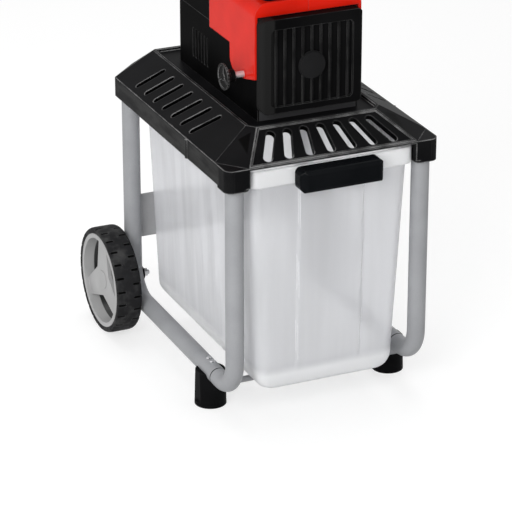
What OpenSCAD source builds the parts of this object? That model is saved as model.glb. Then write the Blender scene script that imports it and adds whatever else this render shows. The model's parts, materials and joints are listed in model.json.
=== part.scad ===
// Garden shredder: a slow cutting roller on a wheeled tube stand, over a pull-out collection box.
// Frame: X to the right, the front looks along -Y, Z is up and the floor is z = 0. Millimetres.

/* [Stand] */
// Distance between the left and right leg axes
leg_span = 380; // [372:1:392]
// Distance between the front and rear leg axes
leg_depth = 514; // [508:1:526]
// Outside diameter of the frame tube
tube_d = 35; // [33:0.5:36]
// Wall of the frame tube
tube_wall = 1.8; // [1.2:0.1:2.4]
// Height of the bottom rail's axis above the floor
rail_h = 72; // [70:1:76]
// Bend radius on the tube's axis
bend_r = 62; // [56:1:66]
// Distance of the tube joint behind the front leg axis
joint_back = 78; // [76:1:82]
// Width of a foot
foot_d = 62; // [56:1:66]
// Distance of a foot's middle behind the front leg axis
foot_back = 118; // [116:1:124]
// Diameter of the front cross tube
cross_d = 12; // [11:1:14]
// Lower edge of the rear cross plate above the floor
plate_low = 180; // [170:1:195]
// Height of the rear cross plate
plate_h = 93; // [80:1:105]
// Thickness of the rear cross plate
plate_t = 2.5; // [2:0.5:4]

/* [Wheels] */
// Diameter over the tyre
wheel_d = 216; // [208:1:224]
// Width of the tyre
wheel_w = 52; // [46:1:56]
// Thickness of the tyre
tyre_t = 12; // [10:1:15]
// Thickness of the rim ring
rim_t = 9; // [7:1:11]
// Spokes in a wheel
spoke_n = 3; // [3:1:5]
// Diameter of the axle bolt
axle_d = 10; // [8:0.5:12]
// Gap between a rear leg and its wheel
wheel_gap = 6.5; // [5:0.5:9]

/* [Stand cover] */
// Height of the raised edge around the deck above the floor
deck_h = 578; // [572:1:590]
// Height of the slopes around the deck
roof_rise = 46; // [42:1:50]
// Width of a side slope, seen from above
side_run = 80; // [76:1:86]
// Width of the front slope, seen from above
front_run = 80; // [76:1:84]
// Width of the rear slope, seen from above
rear_run = 60; // [52:1:66]
// Height of the skirt
skirt_h = 39; // [35:1:42]
// Depth of the front leg sockets below the skirt
boot_drop = 5; // [3:1:8]
// Wall of the leg sockets
boot_wall = 8.5; // [7.5:0.5:10]
// Wall of the cover
shell_t = 4; // [3:0.5:5]
// Depth of the deck below its raised edge
lip_h = 6; // [4:0.5:8]
// Width of the raised edge
lip_w = 5; // [4:0.5:7]
// Slots in each slope
slot_n = 7; // [5:2:7]
// Width of a front slot
slot_w = 17; // [12:1:19]
// Width of a side slot
side_slot_w = 13; // [9:1:15]
// Distance between the side slots
side_pitch = 45; // [42:0.5:47]

/* [Collection box] */
// Height of the box's floor above the ground
box_low = 64; // [64:1:72]
// Gap between the box's rim and the cover's edge above it
rim_gap = 11; // [8:1:14]
// Height of the rim band
rim_h = 34; // [30:1:38]
// Wall of the box
box_wall = 2.6; // [2:0.1:3.5]
// Lean of a side wall from rim to floor
box_draft = 18; // [12:1:22]
// Lean of the front wall from rim to floor
front_draft = 11; // [7:1:15]
// Lean of the rear wall from rim to floor
rear_draft = 3; // [1:1:8]
// Radius of the upright corners
box_corner = 22; // [18:1:28]
// Length of the pull handle
handle_len = 168; // [150:1:190]
// Height of the pull handle
handle_h = 43; // [38:1:46]
// Depth of the pull handle
handle_t = 34; // [28:1:40]
// How far the pull handle sits to the right of the middle
handle_x = 6; // [0:1:10]

/* [Cutting unit] */
// Height of the roller's axis above the deck
axis_h = 103; // [101:1:108]
// Distance of the unit's front behind the front leg axis
unit_back = 73; // [71:1:80]
// Depth of the front cover
cover_depth = 20; // [19:1:24]
// Half width of the front cover
cover_half = 104; // [102:1:108]
// Length of the cutting chamber
chamber_len = 137; // [132:1:142]
// Diameter of the roller over its teeth
drum_d = 110; // [100:1:114]
// Teeth around the roller
drum_teeth = 8; // [6:1:10]
// Gap between roller and counter plate at rest
plate_gap = 4.5; // [4.2:0.1:6]
// Diameter of the adjusting spindle
spindle_d = 12; // [10:0.5:13]
// Diameter of the adjusting knob
knob_d = 50; // [44:1:58]
// Ribs across the front cover
rib_n = 9; // [7:2:9]
// Distance between the ribs
rib_pitch = 18.2; // [16:0.2:18.4]

/* [Gearbox and motor] */
// Distance between roller axis and layshaft
gear_dist = 60; // [58:0.5:62]
// Teeth on each pinion
pinion_n = 12; // [12:1:14]
// Teeth on the layshaft gear
lay_n = 68; // [66:1:70]
// Teeth on the roller gear
out_n = 48; // [46:1:50]
// Length of the gearbox
gearbox_len = 65; // [63:1:70]
// Radius of the motor case
motor_r = 66; // [62:1:68]
// Length of the motor case
motor_len = 120; // [114:1:126]

/* [Hopper] */
// Width of the mouth
mouth_w = 320; // [280:1:340]
// Depth of the mouth
mouth_d = 270; // [230:1:280]
// Height of the mouth's middle above the housing
hopper_h = 185; // [160:1:200]
// Tilt of the mouth towards the user
mouth_tilt = 12; // [6:1:15]
// Wall of the hopper
hopper_t = 3; // [2.5:0.5:4]

/* [Hidden] */
$fn = 64;
fit = 0.25;      // gap between pieces that are put together and stay
run = 0.06;      // radial gap of a turning pin in its hole
free = 0.5;      // gap between pieces that pass each other
over = 1;        // how far a cut runs past the face that it opens
far = 900;       // longer than anything in the part
leg_x = leg_span / 2;
leg_y = leg_depth / 2;
tube_r = tube_d / 2;
bore_r = tube_r - tube_wall;
joint_y = -leg_y + joint_back;
joint_gap = 1.6;
rail_screws = [30, 48];
foot_y = -leg_y + foot_back;
foot_x = leg_x;
cross_y = foot_y - foot_d / 2 - 8;
cross_z = box_low - 2 - cross_d / 2;
plate_y = leg_y + tube_r;
wheel_r = wheel_d / 2;
axle_r = axle_d / 2;
rim_r = wheel_r - tyre_t;
wheel_x0 = leg_x + tube_r + wheel_gap;
wheel_x1 = wheel_x0 + wheel_w;
hub_r = 23;
web_x1 = wheel_x1 - 9;
web_t = 8;
hub_x1 = web_x1 - 10;
boot_out = tube_r + boot_wall;
boot_in = tube_r + 4;
half_x = leg_x + boot_out;
front_y = leg_y + boot_out;
rear_y = leg_y + 75;
rear_cut = 60;
rear_reach = (half_x + rear_y - rear_cut) / sqrt(2);
skirt_top = deck_h - roof_rise;
skirt_low = skirt_top - skirt_h;
boot_low = skirt_low - boot_drop;
leg_top = skirt_top - 8;
deck_z = deck_h - lip_h;
under_z = deck_z - shell_t;
deck_x = half_x - side_run;
deck_y0 = front_y - front_run;
deck_y1 = rear_y - rear_run;
corner_dir = 40;
corner_low = cos(corner_dir) * (half_x - 46.6) + sin(corner_dir) * front_y;
corner_top = cos(corner_dir) * (deck_x - 14) + sin(corner_dir) * deck_y0;
front_tilt = atan2(roof_rise, front_run);
front_len = norm([roof_rise, front_run]);
side_tilt = atan2(roof_rise, side_run);
side_len = norm([roof_rise, side_run]);
side_mid = 50;
collar_h = 13;
collar_w = 5;
corner_r = 16;
panel_x = half_x - 47;
panel_top = deck_x - 14;
box_high = skirt_top - rim_gap;
rim_half = leg_x - boot_in - 2;
rim_y0 = -leg_y - 21;
rim_y1 = leg_y + 10;
rim_low = box_high - rim_h;
handle_top = box_high - 1.5;
body_half = rim_half - 7;
body_y0 = rim_y0 + 6;
body_y1 = rim_y1 - 6;
guide_in = body_half + 2;
guide_web = rim_half + 4;
guide_top = rim_low - fit;
guide_low = guide_top - 4;
guide_y = leg_y - boot_out - 2;
axis_z = deck_z + axis_h;
y_cover = -leg_y + unit_back;
y_ch = y_cover + cover_depth;
y_gb = y_ch + chamber_len;
y_mt = y_gb + gearbox_len;
y_end = y_mt + motor_len;
y_back = y_end + 68;
ch_front = y_ch + 8;
ch_rear = y_gb - 8;
base_half = cover_half - 2;
base_t = 3;
base_in = base_half - base_t;
part_z = axis_z + 25;
red_half = base_half + 6;
red_in = base_half + 0.3;
house_top = axis_z + 125;
lid_top = axis_z + 95;
drum_r = drum_d / 2;
drum_shaft_r = 12.5;
wall_in = -base_in + 9;
wall_out = wall_in - 6;
right_in = drum_r + 4;
chamber_top = house_top - 30;
spin_y = y_ch + 49;
spin_z = axis_z - 24;
spin_r = spindle_d / 2;
nut_r = spin_r + 2;
cheek_low = spin_z - nut_r - 1.8;
jaw_back = -(drum_r + plate_gap) - 22;
jaw_low = spin_z - 22;
jaw_high = spin_z + 26;
knob_face = -red_half - 43;
mod_1 = 2 * gear_dist / (pinion_n + lay_n);
mod_2 = 2 * gear_dist / (pinion_n + out_n);
lay_dir = 60;
lay_x = gear_dist * cos(lay_dir);
lay_z = axis_z + gear_dist * sin(lay_dir);
lay_tip = mod_1 * lay_n / 2 + 0.9 * mod_1;
out_tip = mod_2 * out_n / 2 + 0.9 * mod_2;
case_front = y_gb + 12;
case_rear = y_mt - 10;
out_y0 = case_front + 4;
out_y1 = out_y0 + 18;
lay_y0 = out_y1 + 4;
lay_y1 = case_rear - 4;
motor_shaft_r = 8;
stator_y0 = y_mt + 28;
stator_y1 = y_end - 22;
neck_x = 68;
neck_y0 = ch_front + 6;
neck_y1 = ch_rear - 6;
neck_mid = (neck_y0 + neck_y1) / 2;
mouth_y = neck_mid + 18;
mouth_z = house_top + hopper_h;
panel_x0 = base_half + fit;
panel_x1 = panel_x0 + 28;
panel_y0 = y_mt + 40;
panel_y1 = panel_y0 + 104;
panel_z0 = part_z + 4;
panel_z1 = lid_top - 24;
slot_is = [-(slot_n - 1) / 2:(slot_n - 1) / 2];
y_mid = (rim_y0 - handle_t + leg_y + wheel_r) / 2;

// A rectangle with rounded corners, its middle at the origin.
module rrect(w, d, r) {
    square([w - 2 * r, d], center = true);
    square([w, d - 2 * r], center = true);
    for (sx = [-1, 1], sy = [-1, 1]) translate([sx * (w / 2 - r), sy * (d / 2 - r)]) circle(r);
}

// The same between two corners.
module rspan(x0, x1, y0, y1, r) translate([(x0 + x1) / 2, (y0 + y1) / 2]) rrect(x1 - x0, y1 - y0, r);

// Draws an X-Z outline and carries it along Y from y0 to y1.
module along_y(y0, y1) translate([0, y1, 0]) rotate([90, 0, 0]) linear_extrude(y1 - y0) children();

// Draws a Y-Z outline and carries it along X from x0 to x1.
module along_x(x0, x1) translate([x0, 0, 0]) rotate([90, 0, 90]) linear_extrude(x1 - x0) children();

module along_z(z0, z1) translate([0, 0, z0]) linear_extrude(z1 - z0) children();

// Round bars along each axis.
module bar_x(r, x0, x1, y, z) translate([x0, y, z]) rotate([0, 90, 0]) cylinder(r = r, h = x1 - x0);
module bar_y(r, y0, y1, x, z) translate([x, y1, z]) rotate([90, 0, 0]) cylinder(r = r, h = y1 - y0);
module bar_z(r, z0, z1, x, y) translate([x, y, z0]) cylinder(r = r, h = z1 - z0);

module box3(x0, x1, y0, y1, z0, z1) translate([x0, y0, z0]) cube([x1 - x0, y1 - y0, z1 - z0]);

module mirror_if(right) mirror([right ? 1 : 0, 0, 0]) children();

// A quarter bend of the frame tube in the Y-Z plane, its first end at the given angle.
module bend(r, y, z, start)
    translate([0, y, z]) rotate([90, 0, 90]) rotate([0, 0, start])
        rotate_extrude(angle = 90) translate([bend_r, 0]) circle(r);

// Involute gear outline: half the angle that a tooth takes up at radius r.
function inv(a) = tan(a) * 180 / PI - a;
function half_tooth(n, m, r, slack) =
    let (rp = n * m / 2, rb = rp * cos(25)) 90 / n - slack + inv(25) - (r > rb ? inv(acos(rb / r)) : 0);
function gear_tooth(n, m, turn, slack) =
    let (rp = n * m / 2, rb = rp * cos(25), r0 = rp - 1.2 * m, r3 = rp + 0.9 * m,
         r1 = max(rb, r0 + 0.15 * m), r2 = (r1 + r3) / 2, rs = [r0, r1, r2, r3])
    concat([for (r = rs) let (h = half_tooth(n, m, r, slack)) r * [cos(turn - h), sin(turn - h)]],
           [for (i = [3:-1:0]) let (h = half_tooth(n, m, rs[i], slack))
               rs[i] * [cos(turn + h), sin(turn + h)]]);
function gear_outline(n, m, turn) =
    [for (i = [0:n - 1]) each gear_tooth(n, m, turn + 360 * i / n, 6.5 / (n * m))];

// Cross-section of the stand cover: a wall t thick is left outside it. a and b are the reaches to each
// side, ra and rb the widths of the slopes there.
function wall_x(a, r, t) =
    let (tilt = atan2(roof_rise, r), drop = t / cos(tilt), z = t > 0 ? under_z : deck_h)
    [a - t, skirt_top - drop + t * tan(tilt), a - r + (deck_h - drop - z) / tan(tilt), z];
function roof_outline(a, ra, b, rb, low, t) =
    let (p = wall_x(a, ra, t), q = wall_x(b, rb, t))
    [[-p[0], low], [q[0], low], [q[0], q[1]], [q[2], q[3]], [-p[2], p[3]], [-p[0], p[1]]];

// Cross-section square to a front corner: below the slope it runs out past the sockets, which leaves them
// a flat top.
function corner_outline(low, t) =
    let (tilt = atan2(roof_rise, corner_low - corner_top), drop = t / cos(tilt))
    let (z = t > 0 ? under_z : deck_h)
    [[-far, low], [far, low], [far, z], [-corner_top - (deck_h - drop - z) / tan(tilt), z],
     [-corner_low + (drop - t) / tan(tilt), skirt_top - t], [-far, skirt_top - t]];

// Cross-section square to a rear corner, which a slope cuts off.
function rear_outline(low, t) =
    let (q = wall_x(rear_reach, rear_run, t))
    [[-far, low], [q[0], low], [q[0], q[1]], [q[2], q[3]], [-far, q[3]]];

module corner_cut(dir) rotate([0, 0, dir]) along_y(-far, far) children();

module roof(low, t) intersection() {
    along_y(-far, far) polygon(roof_outline(half_x, side_run, half_x, side_run, low, t));
    along_x(-far, far) polygon(roof_outline(front_y, front_run, rear_y, rear_run, low, t));
    corner_cut(corner_dir) polygon(corner_outline(low, t));
    corner_cut(180 - corner_dir) polygon(corner_outline(low, t));
    corner_cut(45) polygon(rear_outline(low, t));
    corner_cut(135) polygon(rear_outline(low, t));
    along_z(low, deck_h + over) {
        rspan(-half_x + t, half_x - t, -front_y + t, rear_y - 80, corner_r - t);
        translate([-half_x + t, 0]) square([2 * (half_x - t), rear_y - t]);
    }
}

module front_leg(right) color("silver") mirror_if(right) difference() {
    union() {
        bar_z(tube_r, rail_h + bend_r, leg_top, -leg_x, -leg_y);
        translate([-leg_x, 0, 0]) bend(tube_r, -leg_y + bend_r, rail_h + bend_r, 180);
        bar_y(tube_r, -leg_y + bend_r, joint_y, -leg_x, rail_h);
        bar_y(bore_r - fit, joint_y - over, joint_y + 82, -leg_x, rail_h);
    }
    bar_z(bore_r, rail_h + bend_r, leg_top + over, -leg_x, -leg_y);
    translate([-leg_x, 0, 0]) bend(bore_r, -leg_y + bend_r, rail_h + bend_r, 180);
    bar_y(bore_r - 2, -leg_y + bend_r, joint_y + 83, -leg_x, rail_h);
    for (d = rail_screws) bar_z(2.1, rail_h, rail_h + tube_r, -leg_x, joint_y + d);
}
module front_leg_left() front_leg(false);
module front_leg_right() front_leg(true);

module rear_leg(right) color("silver") mirror_if(right) difference() {
    union() {
        bar_z(tube_r, rail_h + bend_r, leg_top, -leg_x, leg_y);
        translate([-leg_x, 0, 0]) bend(tube_r, leg_y - bend_r, rail_h + bend_r, 270);
        bar_y(tube_r, joint_y + joint_gap, leg_y - bend_r, -leg_x, rail_h);
    }
    bar_z(bore_r, rail_h + bend_r, leg_top + over, -leg_x, leg_y);
    translate([-leg_x, 0, 0]) bend(bore_r, leg_y - bend_r, rail_h + bend_r, 270);
    bar_y(bore_r, joint_y - over, leg_y - bend_r, -leg_x, rail_h);
    bar_x(axle_r + fit, -leg_x - tube_r - over, -leg_x + tube_r + over, leg_y, wheel_r);
    for (d = rail_screws) bar_z(2.1, rail_h, rail_h + tube_r + over, -leg_x, joint_y + d);
    for (z = [plate_low + 20, plate_low + plate_h - 20])
        bar_y(2.1, leg_y, leg_y + tube_r + over, -leg_x, z);
}
module rear_leg_left() rear_leg(false);
module rear_leg_right() rear_leg(true);

module foot(right) color([0.07, 0.07, 0.07]) mirror_if(right) difference() {
    translate([-foot_x, foot_y, 0]) cylinder(r1 = foot_d / 2, r2 = foot_d / 2 - 2, h = rail_h - 1);
    bar_y(tube_r + fit, foot_y - far / 9, foot_y + far / 9, -leg_x, rail_h);
    // A flat on the outer side, and the hollow sole.
    box3(-foot_x - far / 9, -foot_x - foot_d / 2 + 4, foot_y - 40, foot_y + 40, 8, far / 9);
    bar_z(foot_d / 2 - 12, -over, 18, -foot_x, foot_y);
}
module foot_left() foot(false);
module foot_right() foot(true);

module cross_tube() color("silver") difference() {
    union() {
        bar_x(cross_d / 2, -leg_x + tube_r, leg_x - tube_r, cross_y, cross_z);
        for (s = [-1, 1]) box3(s > 0 ? leg_x - tube_r - 10 : -leg_x, s > 0 ? leg_x : -leg_x + tube_r + 10,
            cross_y - 7, cross_y + 7, cross_z - cross_d / 2, cross_z + cross_d / 2 + 6);
    }
    bar_x(cross_d / 2 - 1.5, -leg_x + 30, leg_x - 30, cross_y, cross_z);
    for (s = [-1, 1]) bar_y(tube_r + fit, cross_y - far / 9, cross_y + far / 9, s * leg_x, rail_h);
}

module rear_plate() color([0.2, 0.2, 0.21]) difference() {
    along_y(plate_y, plate_y + plate_t)
        rspan(-leg_x - 9, leg_x + 9, plate_low, plate_low + plate_h, 6);
    for (s = [-1, 1], z = [plate_low + 20, plate_low + plate_h - 20])
        bar_y(2.2, plate_y - over, plate_y + plate_t + over, s * leg_x, z);
}

module frame_screws() color([0.3, 0.3, 0.32]) for (s = [-1, 1]) {
    for (z = [plate_low + 20, plate_low + plate_h - 20]) {
        bar_y(2, leg_y + tube_r - 9, plate_y + plate_t + 1, s * leg_x, z);
        bar_y(6, plate_y + plate_t, plate_y + plate_t + 3.5, s * leg_x, z);
    }
    for (d = rail_screws) {
        bar_z(2, rail_h + tube_r - 12, rail_h + tube_r + 1, s * leg_x, joint_y + d);
        bar_z(5, rail_h + tube_r + fit, rail_h + tube_r + 3, s * leg_x, joint_y + d);
    }
}

module axle_bolts() color([0.7, 0.7, 0.72]) for (s = [0, 1]) mirror_if(s == 1) {
    bar_x(axle_r, -hub_x1 - 0.4, -leg_x + tube_r + 15, leg_y, wheel_r);
    translate([-hub_x1 - 7, leg_y, wheel_r]) rotate([0, 90, 0])
        cylinder(r = axle_r * 1.8, h = 6.6, $fn = 6);
}

module axle_washers() color([0.08, 0.08, 0.08]) for (s = [0, 1]) mirror_if(s == 1) difference() {
    union() {
        bar_x(13, -wheel_x0 + free, -leg_x - 6, leg_y, wheel_r);
        bar_x(13, -leg_x + 6, -leg_x + tube_r + 2.5, leg_y, wheel_r);
    }
    bar_x(axle_r + run, -wheel_x0 - over, -leg_x + far / 9, leg_y, wheel_r);
    bar_z(tube_r + 0.15, 0, far, -leg_x, leg_y);
    translate([-leg_x, 0, 0]) bend(tube_r + 0.15, leg_y - bend_r, rail_h + bend_r, 270);
}

module axle_nuts() color([0.7, 0.7, 0.72]) for (s = [0, 1]) mirror_if(s == 1) difference() {
    translate([-leg_x + tube_r + 2.6, leg_y, wheel_r]) rotate([0, 90, 0])
        cylinder(r = axle_r * 1.8, h = 8, $fn = 6);
    bar_x(axle_r + run, -leg_x, -leg_x + far / 9, leg_y, wheel_r);
}

module wheel_rim(right) color([0.62, 0.63, 0.64]) mirror_if(right) translate([0, leg_y, wheel_r])
    difference() {
        union() {
            difference() {
                bar_x(rim_r, -wheel_x1 + 1, -wheel_x0 - 1, 0, 0);
                bar_x(rim_r - rim_t, -wheel_x1, -wheel_x0, 0, 0);
            }
            bar_x(hub_r, -web_x1, -wheel_x0, 0, 0);
            for (i = [0:spoke_n - 1]) rotate([90 + 360 / spoke_n * i, 0, 0])
                along_x(-web_x1, -web_x1 + web_t)
                    polygon([[0, -32], [hub_r, -29], [rim_r - rim_t + 2, -17],
                        [rim_r - rim_t + 2, 17], [hub_r, 29], [0, 32]]);
        }
        bar_x(19, -wheel_x1, -hub_x1, 0, 0);
        bar_x(axle_r + run, -wheel_x1, -wheel_x0 + over, 0, 0);
    }
module wheel_rim_left() wheel_rim(false);
module wheel_rim_right() wheel_rim(true);

module tyre(right) color([0.05, 0.05, 0.05]) mirror_if(right) translate([-wheel_x1, leg_y, wheel_r])
    rotate([0, 90, 0]) rotate_extrude()
        polygon([[rim_r + 0.05, 1], [wheel_r - 6, 0], [wheel_r, 6], [wheel_r, wheel_w - 6],
            [wheel_r - 6, wheel_w], [rim_r + 0.05, wheel_w - 1]]);
module tyre_left() tyre(false);
module tyre_right() tyre(true);

module hub_cap(right) color([0.55, 0.56, 0.57]) mirror_if(right) translate([0, leg_y, wheel_r])
    difference() {
        bar_x(18.75, -web_x1 - 0.8, -hub_x1, 0, 0);
        bar_x(axle_r * 1.8 + 3, -web_x1 + 1.4, -hub_x1 + over, 0, 0);
    }
module hub_cap_left() hub_cap(false);
module hub_cap_right() hub_cap(true);

// A slot with round ends between two points.
module slot2(p, q, w) translate(p) rotate(atan2(q[1] - p[1], q[0] - p[0])) {
    translate([0, -w / 2]) square([norm(q - p), w]);
    circle(w / 2);
    translate([norm(q - p), 0]) circle(w / 2);
}

// The front slope's own frame: across, up the slope from the skirt, and out of it.
module front_slope() translate([0, -front_y, skirt_top]) rotate([front_tilt, 0, 0]) children();
module front_slot(i, w) slot2([i * 42.3, 19], [i * 33.7, front_len - 21], w);

// The left slope's own frame: up the slope from the skirt, along it and out of it.
module side_slope() translate([-half_x, side_mid, skirt_top]) rotate([0, -side_tilt, 0]) children();
module side_slots(w) for (i = slot_is)
    slot2([19, i * side_pitch], [side_len - 22, i * (side_pitch + 1) - 15], w);

// Outline of the front panel, drawn in by d.
module panel_outline(d) polygon([[-panel_x + d * 1.6, 3 + d], [panel_x - d * 1.6, 3 + d],
    [panel_top - d * 0.9, front_len - 2 - d], [-panel_top + d * 0.9, front_len - 2 - d]]);

module stand_cover() color([0.06, 0.06, 0.065]) difference() {
    union() {
        difference() {
            roof(skirt_low, 0);
            roof(skirt_low - over, shell_t);
        }
        intersection() {
            for (sx = [-1, 1], sy = [-1, 1]) along_z(sy < 0 ? boot_low : skirt_low, deck_h)
                rspan(sx * leg_x - (sx > 0 ? boot_in : boot_out), sx * leg_x + (sx > 0 ? boot_out : boot_in),
                    sy * leg_y - boot_out, sy * leg_y + boot_out, 11);
            roof(boot_low, 0);
        }
        // Rib around the front panel, collars under the slots and a rib on each side of the skirt.
        front_slope() {
            along_z(-3, 1.4) panel_outline(0);
            along_z(-collar_h, -3) for (i = slot_is) front_slot(i, slot_w + collar_w);
        }
        for (s = [0, 1]) mirror_if(s == 1) side_slope()
            along_z(-collar_h, -3) side_slots(side_slot_w + collar_w);
        for (s = [-1, 1]) bar_z(4.5, skirt_low, skirt_top - 1, s * (half_x - 1.5), -leg_y + 163);
    }
    for (sx = [-1, 1], sy = [-1, 1])
        bar_z(tube_r + fit, boot_low - over, leg_top + fit, sx * leg_x, sy * leg_y);
    // The sunk deck and the opening for the chips.
    along_z(deck_z, deck_h + over) intersection() {
        translate([-deck_x + lip_w, -deck_y0 + lip_w])
            square([2 * (deck_x - lip_w), deck_y0 + deck_y1 - 2 * lip_w]);
        rotate(corner_dir) translate([-corner_top + lip_w, -far]) square(2 * far);
        rotate(180 - corner_dir) translate([-corner_top + lip_w, -far]) square(2 * far);
        rotate(-135) translate([rear_run - rear_reach + lip_w, -far]) square(2 * far);
        rotate(-45) translate([rear_run - rear_reach + lip_w, -far]) square(2 * far);
    }
    box3(wall_in, right_in, ch_front, ch_rear, under_z - over, deck_h);
    // The bay that the box slides out of, between the front sockets.
    box3(-leg_x + boot_in, leg_x - boot_in, -front_y - over, -leg_y + 20, boot_low - over, skirt_top - 4);
    // The front panel, sunk inside its rib, with a fan of slots.
    front_slope() {
        along_z(-1.5, 20) panel_outline(3.5);
        along_z(-20, 20) for (i = slot_is) front_slot(i, slot_w);
    }
    for (s = [0, 1]) mirror_if(s == 1) side_slope() along_z(-20, 20) side_slots(side_slot_w);
}

module box_guide(right) color([0.09, 0.09, 0.09]) mirror_if(right) difference() {
    intersection() {
        along_y(-guide_y, guide_y) {
            translate([-guide_web - 4, guide_low]) square([4, deck_h - guide_low]);
            translate([-guide_web - 4, guide_low]) square([guide_web + 4 - guide_in, 4]);
        }
        roof(boot_low - over, shell_t);
    }
    side_slope() along_z(-collar_h - fit, 0) side_slots(side_slot_w + collar_w + 2 * fit);
}
module box_guide_left() box_guide(false);
module box_guide_right() box_guide(true);

// One level of the box: half width, front, rear and corner radius, a sheet at height z.
module box_level(w, y0, y1, r, z) along_z(z - 0.01, z) rspan(-w, w, y0, y1, r, $fn = 32);

// One level of the tapering body, drawn in by d at the sides and rear and by f at the front.
module body_level(d, f, r, z) box_level(body_half - box_draft - d, body_y0 + front_draft + f,
    body_y1 - rear_draft - d, r, z);

// The tapering body, drawn in by t, up to a height.
module box_body(t, top) hull() {
    body_level(24 + t, 9 + t, box_corner - 9, box_low + 0.01 + t);
    body_level(8 + t, 2 + t, box_corner - 4, box_low + 8 + t / 2);
    body_level(t, t, box_corner - 2, box_low + 28);
    box_level(body_half - t, body_y0 + t, body_y1 - t, box_corner - t / 2, top);
}

module collection_box() color([0.85, 0.86, 0.87, 0.7]) difference() {
    union() {
        box_body(0, rim_low + 4);
        along_z(rim_low, box_high) rspan(-rim_half, rim_half, rim_y0, rim_y1, box_corner - 6);
    }
    box_body(box_wall, rim_low + 4.5);
    along_z(rim_low + 4, box_high + over) rspan(-rim_half + box_wall, rim_half - box_wall,
        rim_y0 + box_wall, rim_y1 - box_wall, box_corner - 8);
}

module box_handle() color([0.05, 0.05, 0.05]) translate([handle_x, 0, 0]) difference() {
    intersection() {
        along_x(-handle_len / 2, handle_len / 2)
            rspan(rim_y0 - handle_t, rim_y0 + 20, handle_top - handle_h, handle_top, 7);
        along_z(handle_top - 80, handle_top + over) rspan(-handle_len / 2, handle_len / 2,
            rim_y0 - handle_t, rim_y0 + 20, 13);
        along_y(rim_y0 - handle_t, rim_y0)
            rspan(-handle_len / 2, handle_len / 2, handle_top - handle_h, handle_top, 11);
    }
    along_x(-handle_len / 2 + 6, handle_len / 2 - 6) rspan(rim_y0 - handle_t + 5, rim_y0 - 4,
        handle_top - 80, handle_top - 6, 5);
}

// The outline of the upper casing seen from above, drawn in by t.
module base_outline(t) {
    r = 22 - t;
    translate([-base_half + t, y_ch + 0.3]) square([2 * (base_half - t), y_back - y_ch - 30]);
    rspan(-base_half + t, base_half - t, y_back - 80, y_back - t, r);
}

module base_housing() color([0.06, 0.06, 0.065]) difference() {
    along_z(deck_z, part_z) base_outline(0);
    along_z(deck_z - over, part_z + over) {
        base_outline(base_t);
        translate([-base_in, y_ch - over]) square([2 * base_in, 10]);
    }
    bar_x(nut_r + fit, -base_half - over, -base_in + over, spin_y, spin_z);
    for (i = [-3:3]) box3(i * 20 - 4, i * 20 + 4, y_back - 10, y_back + over, deck_z + 40, part_z - 24);
    for (s = [-1, 1], i = [0:5]) box3(s * base_half - 8, s * base_half + 8,
        y_mt + 30 + i * 14, y_mt + 36 + i * 14, deck_z + 30, part_z - 40);
}

module deck_screws() color([0.5, 0.5, 0.52]) for (sx = [-1, 1], y = [ch_front + 20, ch_rear - 14])
    bar_z(5, under_z - 4, under_z, sx > 0 ? right_in + 14 : wall_out - 1.5, y);

module front_cover() color([0.05, 0.05, 0.055]) difference() {
    intersection() {
        along_y(y_cover - 10, y_ch) rspan(-cover_half, cover_half, axis_z - 85, lid_top + 2, 14);
        along_z(deck_z, house_top) {
            rspan(-cover_half, cover_half, y_cover, y_ch, min(15, cover_depth / 2 - 0.5));
            translate([-cover_half, y_ch - 8]) square([2 * cover_half, 8]);
        }
    }
    // The sunk field, left standing where the ribs are.
    difference() {
        along_y(y_cover - over, y_cover + 5) rspan(-cover_half + 21, cover_half - 21,
            axis_z - 73, lid_top - 18, 9);
        for (i = [-(rib_n - 1) / 2:(rib_n - 1) / 2])
            box3(i * rib_pitch - 1.6, i * rib_pitch + 1.6, y_cover + 0.6, y_cover + 9, deck_z, house_top);
    }
    bar_y(27, y_cover - over, y_cover + 5, 0, axis_z);
    along_y(y_cover + 9, y_ch + over) rspan(-cover_half + 6, cover_half - 6, axis_z - 76, lid_top - 4, 9);
}

module front_disc() color([0.09, 0.09, 0.095]) {
    bar_y(26.7, y_cover + 1.5, y_cover + 5, 0, axis_z);
    bar_y(25, y_cover - 2, y_cover + 1.5, 0, axis_z);
}

// Side outline of the red housing: a rounded cheek over the chamber and a hood back to the motor.
module cheek2(t) {
    difference() {
        union() {
            rspan(y_ch + fit, ch_rear - 14, cheek_low, house_top - t, 26);
            translate([y_ch + fit, cheek_low]) square([40, 60]);
        }
        polygon([[y_ch - 1, cheek_low - 1], [y_ch - 1, cheek_low + 13], [y_ch + 48, cheek_low],
            [y_ch + 48, cheek_low - 1]]);
    }
    translate([y_ch + fit, axis_z + 40]) square([ch_rear - 4 - y_ch - fit, house_top - t - axis_z - 40]);
    translate([y_ch, part_z - 8]) square([y_mt + 9 - y_ch, house_top - t - part_z + 8]);
}

module housing_half(right) color([0.72, 0.03, 0.03]) intersection() {
    difference() {
        intersection() {
            along_x(-red_half, red_half) cheek2(0);
            along_y(-far, far) {
                rspan(-red_half, red_half, part_z, house_top, 26);
                translate([-red_half, deck_z]) square([2 * red_half, part_z + 40 - deck_z]);
            }
        }
        along_y(y_ch + 4, y_mt + 6) rspan(-red_in, red_in, part_z - 60, house_top - 4, 21);
        box3(-red_in, red_in, -far, y_mt + 6, deck_z - over, lid_top + 3);
        box3(-red_in, red_in, y_mt, y_mt + far, deck_z, part_z);
        bar_y(motor_r + 8, y_mt, y_mt + 20, 0, axis_z);
        along_z(house_top - 20, house_top + over) rspan(-neck_x - fit, neck_x + fit,
            neck_y0 - fit, neck_y1 + fit, 8);
        bar_x(nut_r + fit, -red_half - over, -red_in + over, spin_y, spin_z);
    }
    translate([right ? 0 : -far, -far, 0]) cube([far, 2 * far, 2 * far]);
}
module housing_left() housing_half(false);
module housing_right() housing_half(true);

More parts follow.
